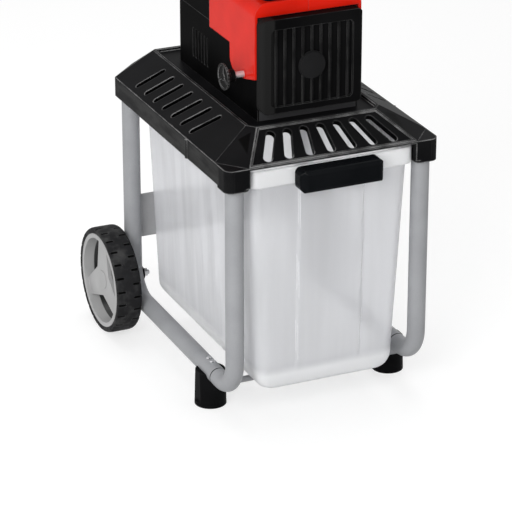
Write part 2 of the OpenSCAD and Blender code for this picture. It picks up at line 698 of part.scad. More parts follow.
module motor_cover() color([0.06, 0.06, 0.065]) difference() {
    intersection() {
        along_z(part_z, lid_top) base_outline(0);
        along_y(y_mt + 9.3, y_back) {
            rspan(-base_half, base_half, part_z - 40, lid_top, 26);
        }
    }
    intersection() {
        along_z(part_z - over, lid_top - base_t) base_outline(base_t);
        along_y(y_mt, y_back - base_t) rspan(-base_in, base_in, part_z - 40, lid_top - base_t, 23);
    }
    for (i = [-3:3]) box3(i * 20 - 4, i * 20 + 4, y_back - 10, y_back + over, part_z + 10, lid_top - 26);
}

// The mouth's plane, tilted towards the user, carrying an outline from a to b along its axis.
module mouth_sheet(a, b) translate([0, mouth_y, mouth_z]) rotate([mouth_tilt, 0, 0])
    translate([0, 0, a]) linear_extrude(b - a) children();

// A rectangle with its corners cut off.
module crect(w, d, c) polygon([[-w / 2 + c, -d / 2], [w / 2 - c, -d / 2], [w / 2, -d / 2 + c],
    [w / 2, d / 2 - c], [w / 2 - c, d / 2], [-w / 2 + c, d / 2], [-w / 2, d / 2 - c], [-w / 2, -d / 2 + c]]);

module funnel(t) hull() {
    along_z(house_top + 6, house_top + 6.1) translate([0, neck_mid])
        crect(2 * (neck_x - t + 3), neck_y1 - neck_y0 - 2 * t + 6, 12);
    mouth_sheet(-4, 4) crect(mouth_w - 2 * t, mouth_d - 2 * t, 30);
}

module hopper() color([0.06, 0.06, 0.065]) difference() {
    union() {
        along_z(chamber_top + free, house_top + 1) rspan(-neck_x, neck_x, neck_y0, neck_y1, 8);
        along_z(house_top, house_top + 8) rspan(-neck_x - 16, neck_x + 16, neck_y0 - 8, neck_y1 + 16, 12);
        funnel(0);
        mouth_sheet(-6, 3.5) crect(mouth_w + 16, mouth_d + 16, 34);
    }
    along_z(chamber_top - over, house_top + 9) rspan(-neck_x + hopper_t, neck_x - hopper_t,
        neck_y0 + hopper_t, neck_y1 - hopper_t, 6);
    funnel(hopper_t);
    for (sx = [-1, 1], y = [neck_y0 + 12, neck_y1 - 4])
        bar_z(2.2, house_top - over, house_top + 9, sx * (neck_x + 10.5), y);
}

module hopper_screws() color([0.5, 0.5, 0.52]) for (sx = [-1, 1], y = [neck_y0 + 12, neck_y1 - 4]) {
    bar_z(2, house_top + 0.2, house_top + 9, sx * (neck_x + 10.5), y);
    bar_z(3.8, house_top + 8, house_top + 11, sx * (neck_x + 10.5), y);
}

module cutter_chamber() color([0.25, 0.25, 0.27]) difference() {
    union() {
        box3(-base_in + 0.4, base_in - 0.4, y_ch, ch_front, deck_z, chamber_top);
        box3(wall_out, right_in + 6, ch_rear, y_gb, deck_z, chamber_top);
        box3(wall_out, wall_in, y_ch, y_gb, deck_z, chamber_top);
        box3(right_in, right_in + 6, y_ch, y_gb, deck_z, chamber_top);
        bar_y(33, y_ch - 10.5, ch_front, 0, axis_z);
        // Ledges that the counter plate slides on.
        box3(wall_in - 1, jaw_back + 20, ch_front - 1, ch_front + 5, jaw_low - 8, jaw_low - 0.3);
        box3(wall_in - 1, jaw_back + 20, ch_rear - 5, ch_rear + 1, jaw_low - 8, jaw_low - 0.3);
    }
    bar_y(26.05, y_ch - 9, ch_front - 2, 0, axis_z);
    bar_y(15, y_ch - 11, ch_front + over, 0, axis_z);
    bar_y(15, ch_rear - over, y_gb + over, 0, axis_z);
    bar_x(9.05, wall_out - over, wall_in + over, spin_y, spin_z);
}

module cutting_drum() color([0.55, 0.55, 0.57]) difference() {
    along_y(ch_front + 4, ch_rear - 4) translate([0, axis_z])
        polygon([for (i = [0:drum_teeth - 1]) for (p = [[0, drum_r - 13], [0.06, drum_r - 1], [0.12, drum_r],
            [0.3, drum_r - 1.5], [0.6, drum_r - 6], [0.85, drum_r - 12]])
            let (a = (i + p[0]) * 360 / drum_teeth) p[1] * [cos(a), sin(a)]]);
    bar_y(drum_shaft_r + 0.03, ch_front, ch_rear, 0, axis_z);
}

module drum_shaft() color([0.7, 0.7, 0.72])
    bar_y(drum_shaft_r, y_ch - 8.5, out_y1 + 1.5, 0, axis_z);

module ring_y(ro, ri, y0, y1, x, z) difference() {
    bar_y(ro, y0, y1, x, z);
    bar_y(ri, y0 - over, y1 + over, x, z);
}

module drum_bearing_front() color([0.75, 0.75, 0.77])
    ring_y(26, drum_shaft_r + run, y_ch - 8.8, ch_front - 2.2, 0, axis_z);
module drum_bearing_rear() color([0.75, 0.75, 0.77])
    ring_y(26, drum_shaft_r + run, y_gb + 0.2, case_front - 0.2, 0, axis_z);

module counter_plate() color([0.5, 0.5, 0.52]) difference() {
    box3(jaw_back, -drum_r * 0.72, ch_front + 0.3, ch_rear - 0.3, jaw_low, jaw_high);
    bar_y(drum_r + plate_gap, y_ch, y_gb, 0, axis_z);
    bar_x(spin_r + 0.1, jaw_back - over, jaw_back + 14, spin_y, spin_z);
}

module spindle_nut() color([0.75, 0.6, 0.3]) difference() {
    bar_x(nut_r, -red_half - 1, wall_in, spin_y, spin_z);
    bar_x(spin_r + run, -red_half - 5, wall_in + over, spin_y, spin_z);
}

module adjust_spindle() color([0.75, 0.75, 0.77])
    bar_x(spin_r, knob_face + 6, jaw_back + 13.5, spin_y, spin_z);

module adjust_knob() color([0.12, 0.12, 0.125]) difference() {
    union() {
        bar_x(knob_d / 2, knob_face, knob_face + 4, spin_y, spin_z);
        translate([knob_face + 3.9, spin_y, spin_z]) rotate([0, 90, 0])
            cylinder(r1 = knob_d / 2 - 6, r2 = 12, h = 8);
        bar_x(12, knob_face + 8, knob_face + 22, spin_y, spin_z);
    }
    // Three pockets leave a rim, a boss and three ribs on the face, and fine flutes give grip.
    translate([0, spin_y, spin_z]) along_x(knob_face - over, knob_face + 1.6) difference() {
        circle(knob_d / 2 - 3.5);
        circle(7);
        for (i = [0:2]) rotate(90 + i * 120) translate([0, -2]) square([knob_d, 4]);
    }
    for (i = [0:23]) translate([0, spin_y, spin_z]) rotate([i * 15, 0, 0])
        bar_x(1.1, knob_face - over, knob_face + 4.2, knob_d / 2 + 0.4, 0);
    bar_x(spin_r + 0.03, knob_face + 5, knob_face + 30, spin_y, spin_z);
}

// Gearbox outline around both shafts.
module gear_outline2(r_out, r_lay) {
    translate([0, axis_z]) circle(r_out);
    translate([lay_x, lay_z]) circle(r_lay);
    translate([0, axis_z]) rotate(lay_dir) translate([0, -min(r_out, r_lay) * 0.98])
        square([gear_dist, 2 * min(r_out, r_lay) * 0.98]);
}

module gear_case() color([0.6, 0.61, 0.62]) difference() {
    union() {
        along_y(y_gb, case_rear) gear_outline2(out_tip + 7, lay_tip + 7);
        box3(-40, 40, y_gb, case_rear, deck_z, axis_z - 30);
    }
    along_y(case_front, case_rear + over) gear_outline2(out_tip + 3, lay_tip + 3);
    bar_y(26.05, y_gb - over, case_front + over, 0, axis_z);
    bar_y(13.05, y_gb + 3, case_front + over, lay_x, lay_z);
    box3(-33, 33, y_gb + 6, case_rear - 6, deck_z - over, axis_z - out_tip - 9);
}

module gear_cover() color([0.6, 0.61, 0.62]) difference() {
    along_y(case_rear, y_mt) gear_outline2(motor_r + 7, lay_tip + 7);
    bar_y(20.05, case_rear - over, y_mt + over, 0, axis_z);
    bar_y(13.05, case_rear - over, y_mt - 2, lay_x, lay_z);
}

module output_gear() color([0.45, 0.45, 0.47]) difference() {
    along_y(out_y0, out_y1) translate([0, axis_z])
        polygon(gear_outline(out_n, mod_2, lay_dir + 180 / out_n));
    bar_y(drum_shaft_r + 0.03, out_y0 - over, out_y1 + over, 0, axis_z);
}

module lay_shaft() color([0.7, 0.7, 0.72]) {
    bar_y(6, y_gb + 3.3, y_mt - 2.3, lay_x, lay_z);
    bar_y(9, out_y1 + 0.5, lay_y1 - 1, lay_x, lay_z);
    along_y(out_y0 - 1, out_y1 + 1) translate([lay_x, lay_z])
        polygon(gear_outline(pinion_n, mod_2, lay_dir + 180));
}

module lay_gear() color([0.45, 0.45, 0.47]) difference() {
    along_y(lay_y0, lay_y1) translate([lay_x, lay_z])
        polygon(gear_outline(lay_n, mod_1, lay_dir + 180 + 180 / lay_n));
    bar_y(9.03, lay_y0 - over, lay_y1 + over, lay_x, lay_z);
}

module lay_bearings() color([0.75, 0.75, 0.77]) {
    ring_y(13, 6 + run, y_gb + 3.2, case_front - 0.2, lay_x, lay_z);
    ring_y(13, 6 + run, case_rear + 0.2, y_mt - 2.2, lay_x, lay_z);
}

module motor_case() color([0.6, 0.61, 0.62]) difference() {
    union() {
        bar_y(motor_r, y_mt, y_end, 0, axis_z);
        bar_y(motor_r + 6, y_mt, y_mt + 6, 0, axis_z);
        box3(-45, 45, y_mt + 20, y_end - 20, deck_z, axis_z - motor_r * 0.7);
    }
    bar_y(motor_r - 4, y_mt + 6, y_end + over, 0, axis_z);
    bar_y(24, y_mt - over, y_mt + 7, 0, axis_z);
    box3(-38, 38, y_mt + 26, y_end - 26, deck_z - over, axis_z - motor_r);
}

module motor_shield() color([0.6, 0.61, 0.62]) difference() {
    bar_y(motor_r, y_end, y_end + 12, 0, axis_z);
    bar_y(16.05, y_end - over, y_end + 10, 0, axis_z);
    bar_y(motor_shaft_r + 1.5, y_end, y_end + 13, 0, axis_z);
}

module stator_core() color([0.4, 0.4, 0.42])
    ring_y(motor_r - 4.05, motor_r - 32, stator_y0, stator_y1, 0, axis_z);

module windings() color([0.65, 0.33, 0.12]) for (y = [stator_y0 - 16, stator_y1])
    ring_y(motor_r - 9, motor_r - 29, y, y + 16, 0, axis_z);

module motor_shaft() color([0.7, 0.7, 0.72]) {
    bar_y(motor_shaft_r, lay_y1 + 1.5, y_end + 32, 0, axis_z);
    along_y(lay_y0 - 1, lay_y1 + 2) translate([0, axis_z])
        polygon(gear_outline(pinion_n, mod_1, lay_dir));
}

module rotor_core() color([0.5, 0.5, 0.52])
    ring_y(motor_r - 32.5, motor_shaft_r + 0.03, stator_y0 + 2, stator_y1 - 2, 0, axis_z);

module fan() color([0.1, 0.1, 0.1]) difference() {
    union() {
        bar_y(14, y_end + 15, y_end + 31, 0, axis_z);
        bar_y(motor_r - 8, y_end + 15, y_end + 17, 0, axis_z);
        for (i = [0:7]) translate([0, 0, axis_z]) rotate([0, i * 45, 0])
            box3(12, motor_r - 9, y_end + 16, y_end + 29, -1, 1);
    }
    bar_y(motor_shaft_r + 0.03, y_end, y_end + 40, 0, axis_z);
}

module motor_bearings() color([0.75, 0.75, 0.77]) {
    ring_y(20, motor_shaft_r + run, case_rear + 3, y_mt - 0.2, 0, axis_z);
    ring_y(16, motor_shaft_r + run, y_end + 0.2, y_end + 9.8, 0, axis_z);
}

module capacitor() color([0.85, 0.85, 0.83]) {
    bar_y(18, y_mt + 32, y_mt + 108, base_in - 19, deck_z + 21);
    box3(base_in - 29, base_in - 9, y_mt + 50, y_mt + 90, deck_z, deck_z + 8);
}

module switch_box() color([0.07, 0.07, 0.075]) difference() {
    along_x(panel_x0, panel_x1) rspan(panel_y0, panel_y1, panel_z0, panel_z1, 9);
    box3(panel_x0 - over, panel_x1 - 4, panel_y0 + 4, panel_y1 - 4, panel_z0 + 4, panel_z1 - 4);
    for (y = [panel_y0 + 20, panel_y0 + 46]) bar_x(10.3, panel_x1 - 8, panel_x1 + over, y, panel_z0 + 20);
    bar_x(5.3, panel_x1 - 8, panel_x1 + over, panel_y0 + 82, panel_z0 + 21);
    // Inlet for the mains lead, from behind.
    bar_y(7, panel_y1 - 6, panel_y1 + over, panel_x0 + 14, panel_z0 + 21);
}

module push_button(y, tint) color(tint) {
    bar_x(10, panel_x1 - 10, panel_x1 + 4, y, panel_z0 + 20);
    bar_x(12, panel_x1 - 10, panel_x1 - 7, y, panel_z0 + 20);
}
module on_button() push_button(panel_y0 + 20, [0.05, 0.45, 0.12]);
module off_button() push_button(panel_y0 + 46, [0.7, 0.03, 0.03]);

module direction_knob() color([0.12, 0.12, 0.125]) {
    bar_x(5, panel_x1 - 9, panel_x1 + 2, panel_y0 + 82, panel_z0 + 21);
    bar_x(15, panel_x1 + 0.4, panel_x1 + 7, panel_y0 + 82, panel_z0 + 21);
    box3(panel_x1 + 6, panel_x1 + 15, panel_y0 + 79, panel_y0 + 85, panel_z0 + 7.5, panel_z0 + 34.5);
}

// The origin is the middle of the part's footprint, so everything moves back by y_mid.
module place() translate([0, -y_mid, 0]) children();

place() front_leg_left();
place() front_leg_right();
place() rear_leg_left();
place() rear_leg_right();
place() foot_left();
place() foot_right();
place() cross_tube();
place() rear_plate();
place() frame_screws();
place() axle_bolts();
place() axle_washers();
place() axle_nuts();
place() wheel_rim_left();
place() wheel_rim_right();
place() tyre_left();
place() tyre_right();
place() hub_cap_left();
place() hub_cap_right();
place() stand_cover();
place() box_guide_left();
place() box_guide_right();
place() collection_box();
place() box_handle();
place() base_housing();
place() deck_screws();
place() front_cover();
place() front_disc();
place() housing_left();
place() housing_right();
place() motor_cover();
place() hopper();
place() hopper_screws();
place() cutter_chamber();
place() cutting_drum();
place() drum_shaft();
place() drum_bearing_front();
place() drum_bearing_rear();
place() counter_plate();
place() spindle_nut();
place() adjust_spindle();
place() adjust_knob();
place() gear_case();
place() gear_cover();
place() output_gear();
place() lay_shaft();
place() lay_gear();
place() lay_bearings();
place() motor_case();
place() motor_shield();
place() stator_core();
place() windings();
place() motor_shaft();
place() rotor_core();
place() fan();
place() motor_bearings();
place() capacitor();
place() switch_box();
place() on_button();
place() off_button();
place() direction_knob();
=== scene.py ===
"""Looks of a garden shredder on a wheeled tube stand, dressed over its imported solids.

Meshes are laid out in millimetres in the stand's own frame, whose origin is on the floor midway between the
four legs; ``metres`` turns them into the model's frame. Materials work in the model's metres.
"""

from __future__ import annotations

import json
import logging
import math
from dataclasses import dataclass, field
from enum import Enum
from typing import Any, Mapping, Sequence

import bpy
import numpy as np
from mathutils import Matrix, Vector

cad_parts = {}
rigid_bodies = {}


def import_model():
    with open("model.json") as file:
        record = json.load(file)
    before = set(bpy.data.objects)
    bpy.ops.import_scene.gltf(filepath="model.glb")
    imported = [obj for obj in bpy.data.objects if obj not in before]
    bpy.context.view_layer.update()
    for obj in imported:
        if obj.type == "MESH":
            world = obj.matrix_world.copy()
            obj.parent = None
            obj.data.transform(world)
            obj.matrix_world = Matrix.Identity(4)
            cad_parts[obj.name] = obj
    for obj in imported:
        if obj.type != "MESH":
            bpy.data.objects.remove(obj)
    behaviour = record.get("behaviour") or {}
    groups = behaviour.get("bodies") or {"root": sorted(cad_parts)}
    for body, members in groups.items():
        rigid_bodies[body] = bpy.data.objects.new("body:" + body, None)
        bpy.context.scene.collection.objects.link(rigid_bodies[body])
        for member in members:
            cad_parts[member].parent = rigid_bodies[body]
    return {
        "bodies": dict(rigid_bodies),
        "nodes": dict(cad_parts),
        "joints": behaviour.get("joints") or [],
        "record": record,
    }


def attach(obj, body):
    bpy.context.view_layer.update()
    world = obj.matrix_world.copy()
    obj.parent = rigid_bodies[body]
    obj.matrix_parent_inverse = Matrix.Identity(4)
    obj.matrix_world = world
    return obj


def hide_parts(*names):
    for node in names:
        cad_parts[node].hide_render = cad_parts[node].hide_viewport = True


log = logging.getLogger("shredder")

STAND_SHIFT = 26.5  # the model's origin lies this far behind the stand's own
WELD = 1e-6  # points nearer than this, in metres, become one
SENSOR_MM = 36.0
PICTURE_PX = 512.0  # width of the picture that the view's focal length counts in
QUARTER = math.pi / 2
SEEN_RAYS = ("Is Camera Ray", "Is Glossy Ray", "Is Transmission Ray")
LAMP_AIM = (0.0, 0.0, 0.4)
BEVEL_SAMPLES = 6

Colour = tuple[float, float, float]
Edge = tuple[float, float]  # where a rise or a fall starts and where it ends
Band = tuple[float, float, float, float]  # starts to show, is full, starts to fade, is gone

FORWARD_LEAN: Edge = (-0.1, 0.4)  # a normal's y over which the painted edge highlight fades
GRAIN_SPAN: Edge = (0.3, 0.7)  # noise values that stand for none and all of a mark
CLOUD_SPAN: Edge = (0.3, 0.75)


def metres(points: np.ndarray) -> np.ndarray:
    """Turns stand millimetres into the model's metres.

    Args:
        points: array whose last axis is x, y, z.

    Returns:
        The same points in metres, moved to the model's origin.
    """
    return (np.asarray(points, float) - (0.0, STAND_SHIFT, 0.0)) / 1000.0


def smooth_step(x: np.ndarray, low: float, high: float) -> np.ndarray:
    """Rises from 0 at low to 1 at high as 3t^2 - 2t^3.

    Args:
        x: values to map.
        low: where the rise starts.
        high: where it ends.

    Returns:
        The eased values.
    """
    t = np.clip((np.asarray(x, float) - low) / (high - low), 0.0, 1.0)
    return t * t * (3.0 - 2.0 * t)


def grey(level: float) -> Colour:
    """A colour with three equal parts."""
    return (level, level, level)


def seen_directly(tree: bpy.types.NodeTree) -> bpy.types.NodeSocket:
    """1 for rays that show a surface itself, straight or by a mirror or a clear wall, and 0 for the others.

    Args:
        tree: node tree of a material or the world.

    Returns:
        The socket with that number.
    """
    path = tree.nodes.new("ShaderNodeLightPath")
    seen = path.outputs[SEEN_RAYS[0]]
    for ray in SEEN_RAYS[1:]:
        most = tree.nodes.new("ShaderNodeMath")
        most.operation = "MAXIMUM"
        tree.links.new(seen, most.inputs[0])
        tree.links.new(path.outputs[ray], most.inputs[1])
        seen = most.outputs[0]
    return seen


class Val:
    """A shader number: wraps an output socket, and operators on it add Math nodes."""

    def __init__(self, graph: "Graph", socket: bpy.types.NodeSocket) -> None:
        """Keeps the graph that new nodes go into and the socket that holds the number."""
        self.graph, self.socket = graph, socket

    def apply(self, operation: str, *others: Any) -> "Val":
        """Adds one Math node.

        Args:
            operation: Blender's name of the operation.
            others: further operands, numbers or Val.

        Returns:
            The node's result.
        """
        return self.graph.math(operation, self, *others)

    def __add__(self, other: Any) -> "Val":
        """Sum."""
        return self.apply("ADD", other)

    __radd__ = __add__

    def __sub__(self, other: Any) -> "Val":
        """Difference."""
        return self.apply("SUBTRACT", other)

    def __rsub__(self, other: Any) -> "Val":
        """Difference with the number first."""
        return self.graph.math("SUBTRACT", other, self)

    def __mul__(self, other: Any) -> "Val":
        """Product."""
        return self.apply("MULTIPLY", other)

    __rmul__ = __mul__

    def __pow__(self, other: Any) -> "Val":
        """Power."""
        return self.apply("POWER", other)

    def __abs__(self) -> "Val":
        """Size without the sign."""
        return self.apply("ABSOLUTE")

    def clamp(self) -> "Val":
        """Holds the value between 0 and 1."""
        return self.apply("MAXIMUM", 0.0).apply("MINIMUM", 1.0)

    def ramp(self, low: float, high: float) -> "Val":
        """Rises smoothly from 0 at low to 1 at high.

        Args:
            low: value where the rise starts.
            high: value where it ends.

        Returns:
            The eased value.
        """
        made = self.graph.node(
            "ShaderNodeMapRange", {"interpolation_type": "SMOOTHSTEP"},
            {"Value": self, "From Min": low, "From Max": high},
        )
        return Val(self.graph, made.outputs["Result"])

    def fall(self, low: float, high: float) -> "Val":
        """Falls smoothly from 1 at low to 0 at high."""
        return 1.0 - self.ramp(low, high)

    def within(self, band: Band) -> "Val":
        """1 inside a band and 0 outside it, with soft ends."""
        return self.ramp(*band[:2]) * self.fall(*band[2:])


class Graph:
    """One material's node tree."""

    def __init__(self, name: str) -> None:
        """Starts an empty material with an output node."""
        self.material = bpy.data.materials.new(name)
        self.material.use_nodes = True
        self.tree = self.material.node_tree
        self.tree.nodes.clear()
        self.output = self.tree.nodes.new("ShaderNodeOutputMaterial")

    def node(
        self, kind: str, settings: Mapping[str, Any] | None = None, sockets: Mapping[Any, Any] | None = None
    ) -> bpy.types.Node:
        """Adds one node.

        Args:
            kind: Blender's type name.
            settings: properties, set first.
            sockets: input name or index to a number, colour, Val or output socket.

        Returns:
            The node.
        """
        made = self.tree.nodes.new(kind)
        for key, value in (settings or {}).items():
            setattr(made, key, value)
        for key, value in (sockets or {}).items():
            self.put(made.inputs[key], value)
        return made

    def put(self, target: bpy.types.NodeSocket, value: Any) -> None:
        """Links or sets one input socket.

        Args:
            target: the input.
            value: Val or output socket to link, or a plain value.
        """
        if isinstance(value, Val):
            value = value.socket
        if isinstance(value, bpy.types.NodeSocket):
            self.tree.links.new(value, target)
        elif target.type == "RGBA" and len(value) == 3:
            target.default_value = (*value, 1.0)
        else:
            target.default_value = value

    def math(self, operation: str, *operands: Any) -> Val:
        """Adds a Math node on up to three operands and gives its result."""
        made = self.node("ShaderNodeMath", {"operation": operation}, dict(enumerate(operands)))
        return Val(self, made.outputs[0])

    def place(self) -> bpy.types.NodeSocket:
        """The point's own coordinates in metres."""
        return self.node("ShaderNodeTexCoord").outputs["Object"]

    def axes(self) -> tuple[Val, Val, Val]:
        """The point's own x, y and z in metres."""
        made = self.node("ShaderNodeSeparateXYZ", None, {0: self.place()})
        return Val(self, made.outputs[0]), Val(self, made.outputs[1]), Val(self, made.outputs[2])

    def noise(
        self, scale: float, detail: float = 2.0, rough: float = 0.5, stretch: Sequence[float] = (1, 1, 1)
    ) -> Val:
        """Noise over the object's own coordinates.

        Args:
            scale: waves in a metre.
            detail: number of finer layers.
            rough: weight of the finer layers.
            stretch: factors on x, y and z before the noise.

        Returns:
            A value around 0.5.
        """
        where: Any = self.place()
        if tuple(stretch) != (1, 1, 1):
            where = self.node("ShaderNodeMapping", None, {"Vector": where, "Scale": stretch}).outputs[0]
        sockets = {"Vector": where, "Scale": scale, "Detail": detail, "Roughness": rough}
        return Val(self, self.node("ShaderNodeTexNoise", None, sockets).outputs["Fac"])

    def mix(self, amount: Val, low: Any, high: Any) -> bpy.types.NodeSocket:
        """Blends two colours.

        Args:
            amount: 0 gives low and 1 gives high.
            low: colour at 0.
            high: colour at 1.

        Returns:
            The blended colour.
        """
        made = self.node("ShaderNodeMix", {"data_type": "RGBA"}, {"Factor": amount, 6: low, 7: high})
        return made.outputs[2]

    def rounded(self, radius: float) -> bpy.types.NodeSocket:
        """Normal with edges rounded over a radius in metres."""
        return self.node("ShaderNodeBevel", {"samples": BEVEL_SAMPLES}, {"Radius": radius}).outputs[0]

    def edge(self, normal: bpy.types.NodeSocket) -> Val:
        """How far a rounded normal leaves the face's own, 0 on flats and about 0.3 on an edge."""
        face = self.node("ShaderNodeNewGeometry").outputs["Normal"]
        made = self.node("ShaderNodeVectorMath", {"operation": "DOT_PRODUCT"}, {0: normal, 1: face})
        return 1.0 - Val(self, made.outputs["Value"])

    def forward(self, normal: bpy.types.NodeSocket) -> Val:
        """1 where a normal leans to the front or stands level, falling to 0 where it leans to the rear."""
        made = self.node("ShaderNodeSeparateXYZ", None, {0: normal})
        return Val(self, made.outputs[1]).fall(*FORWARD_LEAN)

    def bump(self, height: Val, depth: float, normal: bpy.types.NodeSocket) -> bpy.types.NodeSocket:
        """Normal disturbed by a height field.

        Args:
            height: field, about 0 to 1.
            depth: metres that 1 stands for.
            normal: normal to start from.

        Returns:
            The disturbed normal.
        """
        sockets = {"Height": height, "Distance": depth, "Strength": 1.0, "Normal": normal}
        return self.node("ShaderNodeBump", None, sockets).outputs[0]

    def surface(self, sockets: Mapping[str, Any]) -> None:
        """Adds the Principled shader with these sockets and links it to the output."""
        made = self.node("ShaderNodeBsdfPrincipled", None, sockets)
        self.put(self.output.inputs["Surface"], made.outputs[0])


@dataclass(frozen=True)
class Moulding:
    """Moulded plastic with a fine spark-eroded grain and a painted highlight on its edges, patchy like
    wear.

    ``sheen`` shifts the roughness and says what the clouds and the grain add to it.
    """

    name: str
    colour: Colour
    roughness: float = 0.42
    grain: float = 0.00005
    grain_scale: float = 1400.0
    edge_radius: float = 0.0012
    # how much paler the edges are painted, as a painted highlight
    edge_lift: float = 0.03
    ior: float = 1.08
    sheen: tuple[float, float, float] = (-0.05, 0.08, 0.05)
    cloud_scale: float = 9.0
    cloud_gain: float = 1.25
    cloud_add: float = 0.002
    glint_wear_scale: float = 28.0
    glint_wear_gain: float = 9.0
    glint_wear_curve: float = 0.7
    glint_wear_least: float = 0.4
    glint_wear_more: float = 1.1

    def zones(self, g: Graph, base: Any) -> Any:
        """Gives parts of the piece another colour; plain mouldings have none.

        Args:
            g: the material's graph.
            base: colour so far.

        Returns:
            The colour with the zones.
        """
        return base

    def lit(self, g: Graph, normal: bpy.types.NodeSocket) -> Val:
        """Share of the painted edge highlight: edges that lean to the front get more of it than those that
        lean to the rear.
        """
        return g.forward(normal)

    def material(self) -> bpy.types.Material:
        """Grain as bump, uneven sheen as roughness, and paler edges as a painted highlight, patchy like
        wear.

        Returns:
            The material.
        """
        g = Graph(self.name)
        cloud = g.noise(self.cloud_scale, 3.0)
        speck = g.noise(self.grain_scale, 1.0)
        normal = g.rounded(self.edge_radius)
        # painted highlight on edges that lean to the front or stand level, in patches like wear
        patchy = self.glint_wear_least + self.glint_wear_more * g.noise(self.glint_wear_scale, 3.0).ramp(*GRAIN_SPAN)
        glint_and_wear = (g.edge(normal) * self.glint_wear_gain).clamp() ** self.glint_wear_curve * patchy * self.lit(g, normal)
        pale = tuple(min(1.0, c + self.edge_lift) for c in self.colour)
        tint = tuple(c * self.cloud_gain + self.cloud_add for c in self.colour)
        base = g.mix(glint_and_wear, g.mix(cloud.ramp(*CLOUD_SPAN), self.colour, tint), pale)
        shift, cloudy, grainy = self.sheen
        g.surface({
            "Base Color": self.zones(g, base),
            "Roughness": self.roughness + shift + cloudy * cloud + grainy * speck,
            "IOR": self.ior,
            "Normal": g.bump(speck, self.grain, normal),
        })
        return g.material


@dataclass(frozen=True)
class CoverMoulding(Moulding):
    """The stand cover: a side skirt painted paler in patches as a painted sheen, slots painted dark inside
    as painted shade, and a front panel whose edges get little painted highlight.

    The slopes rise from the skirt's top edge, which lies at ``half`` on the sides and ``front`` in front.
    """

    skirt_top: float = 0.532
    rise: float = 0.575
    half: float = 0.216
    front: float = 0.3095
    # colour of the skirt's painted sheen
    skirt_sheen_tone: float = 0.03
    skirt_z: Band = (0.493, 0.495, 0.527, 0.531)
    skirt_x: Edge = (0.2135, 0.2155)
    skirt_front: Edge = (-0.278, -0.266)
    patch_scale: float = 16.0
    patch_stretch: tuple[float, float, float] = (1.0, 0.5, 2.0)
    patch_least: float = 0.15
    patch_more: float = 1.3
    # colour of the painted shade inside the slots
    slot_shade_tone: float = 0.0006
    slot_low: Edge = (0.5, 0.51)
    side_slot_depth: Edge = (0.0012, 0.0024)
    side_slot_x: Band = (0.139, 0.141, 0.2105, 0.2125)
    side_slot_end: Edge = (0.16, 0.17)
    front_slot_depth: Edge = (0.0035, 0.005)
    front_slot_x: Edge = (0.158, 0.162)
    front_slot_y: Band = (-0.3045, -0.3025, -0.235, -0.2325)
    panel_half: float = 0.169
    panel_lean: float = 1.02
    panel_border: Edge = (-0.012, -0.006)
    panel_z: Band = (0.537, 0.541, 0.570, 0.574)
    panel_rear: Edge = (-0.225, -0.215)
    panel_quiet: float = 0.85

    def lit(self, g: Graph, normal: bpy.types.NodeSocket) -> Val:
        """As for any moulding, but edges inside the front panel get little of the painted highlight and
        stay nearly as dark as the rest.
        """
        x, y, z = g.axes()
        half = self.panel_half - (z - self.skirt_top) * self.panel_lean
        inside = (abs(x) - half).fall(*self.panel_border) * z.within(self.panel_z)
        inside = inside * y.fall(*self.panel_rear)
        return g.forward(normal) * (1.0 - self.panel_quiet * inside)

    def zones(self, g: Graph, base: Any) -> Any:
        """Adds the skirt's patchy painted sheen and painted shade inside the slots, which lie under the
        planes of the slopes.

        Args:
            g: the material's graph.
            base: colour so far.

        Returns:
            The colour with both.
        """
        x, y, z = g.axes()
        out = abs(x)
        # painted sheen: the side skirt painted paler in patches
        patch = g.noise(self.patch_scale, 3.0, 0.6, self.patch_stretch).ramp(*CLOUD_SPAN)
        patch = self.patch_least + self.patch_more * patch
        skirt = z.within(self.skirt_z) * y.ramp(*self.skirt_front) * out.ramp(*self.skirt_x)
        base = g.mix((skirt * patch).clamp(), base, grey(self.skirt_sheen_tone))
        # painted shade inside the slots, where the surface lies under the planes of the slopes
        under = (self.half - out) * self.rise + self.skirt_top - z
        side = under.ramp(*self.side_slot_depth) * out.within(self.side_slot_x)
        side = side * abs(y).fall(*self.side_slot_end)
        below = (y + self.front) * self.rise + self.skirt_top - z
        front = below.ramp(*self.front_slot_depth) * out.fall(*self.front_slot_x)
        front = front * y.within(self.front_slot_y)
        return g.mix((side + front).clamp() * z.ramp(*self.slot_low), base, grey(self.slot_shade_tone))


@dataclass(frozen=True)
class FaceMoulding(Moulding):
    """The front cover, whose smooth left border is painted paler than the ribbed field as a painted
    highlight on its rounded edge.
    """

    border: Edge = (0.074, 0.079)
    # tone of the painted highlight on the left border
    border_highlight: float = 0.016

    def zones(self, g: Graph, base: Any) -> Any:
        """Lightens the border on the left as a painted highlight.

        Args:
            g: the material's graph.
            base: colour so far.

        Returns:
            The colour with the border.
        """
        left = -1.0 * g.axes()[0]
        # painted highlight on the left border
        return g.mix(left.ramp(*self.border), base, grey(self.border_highlight))


@dataclass(frozen=True)
class RimMoulding(Moulding):
    """A wheel's rim, with painted shade over its deep inner half."""

    deep: Edge = (0.242, 0.244)
    # tone of the painted shade on the rim's inner half
    inner_shade_tone: float = 0.012

    def zones(self, g: Graph, base: Any) -> Any:
        """Darkens, as painted shade, what lies nearer the middle of the machine than the rim's deep line.

        Args:
            g: the material's graph.
            base: colour so far.

        Returns:
            The colour with the dark half.
        """
        # painted shade over the rim's inner half
        return g.mix(abs(g.axes()[0]).fall(*self.deep), base, grey(self.inner_shade_tone))


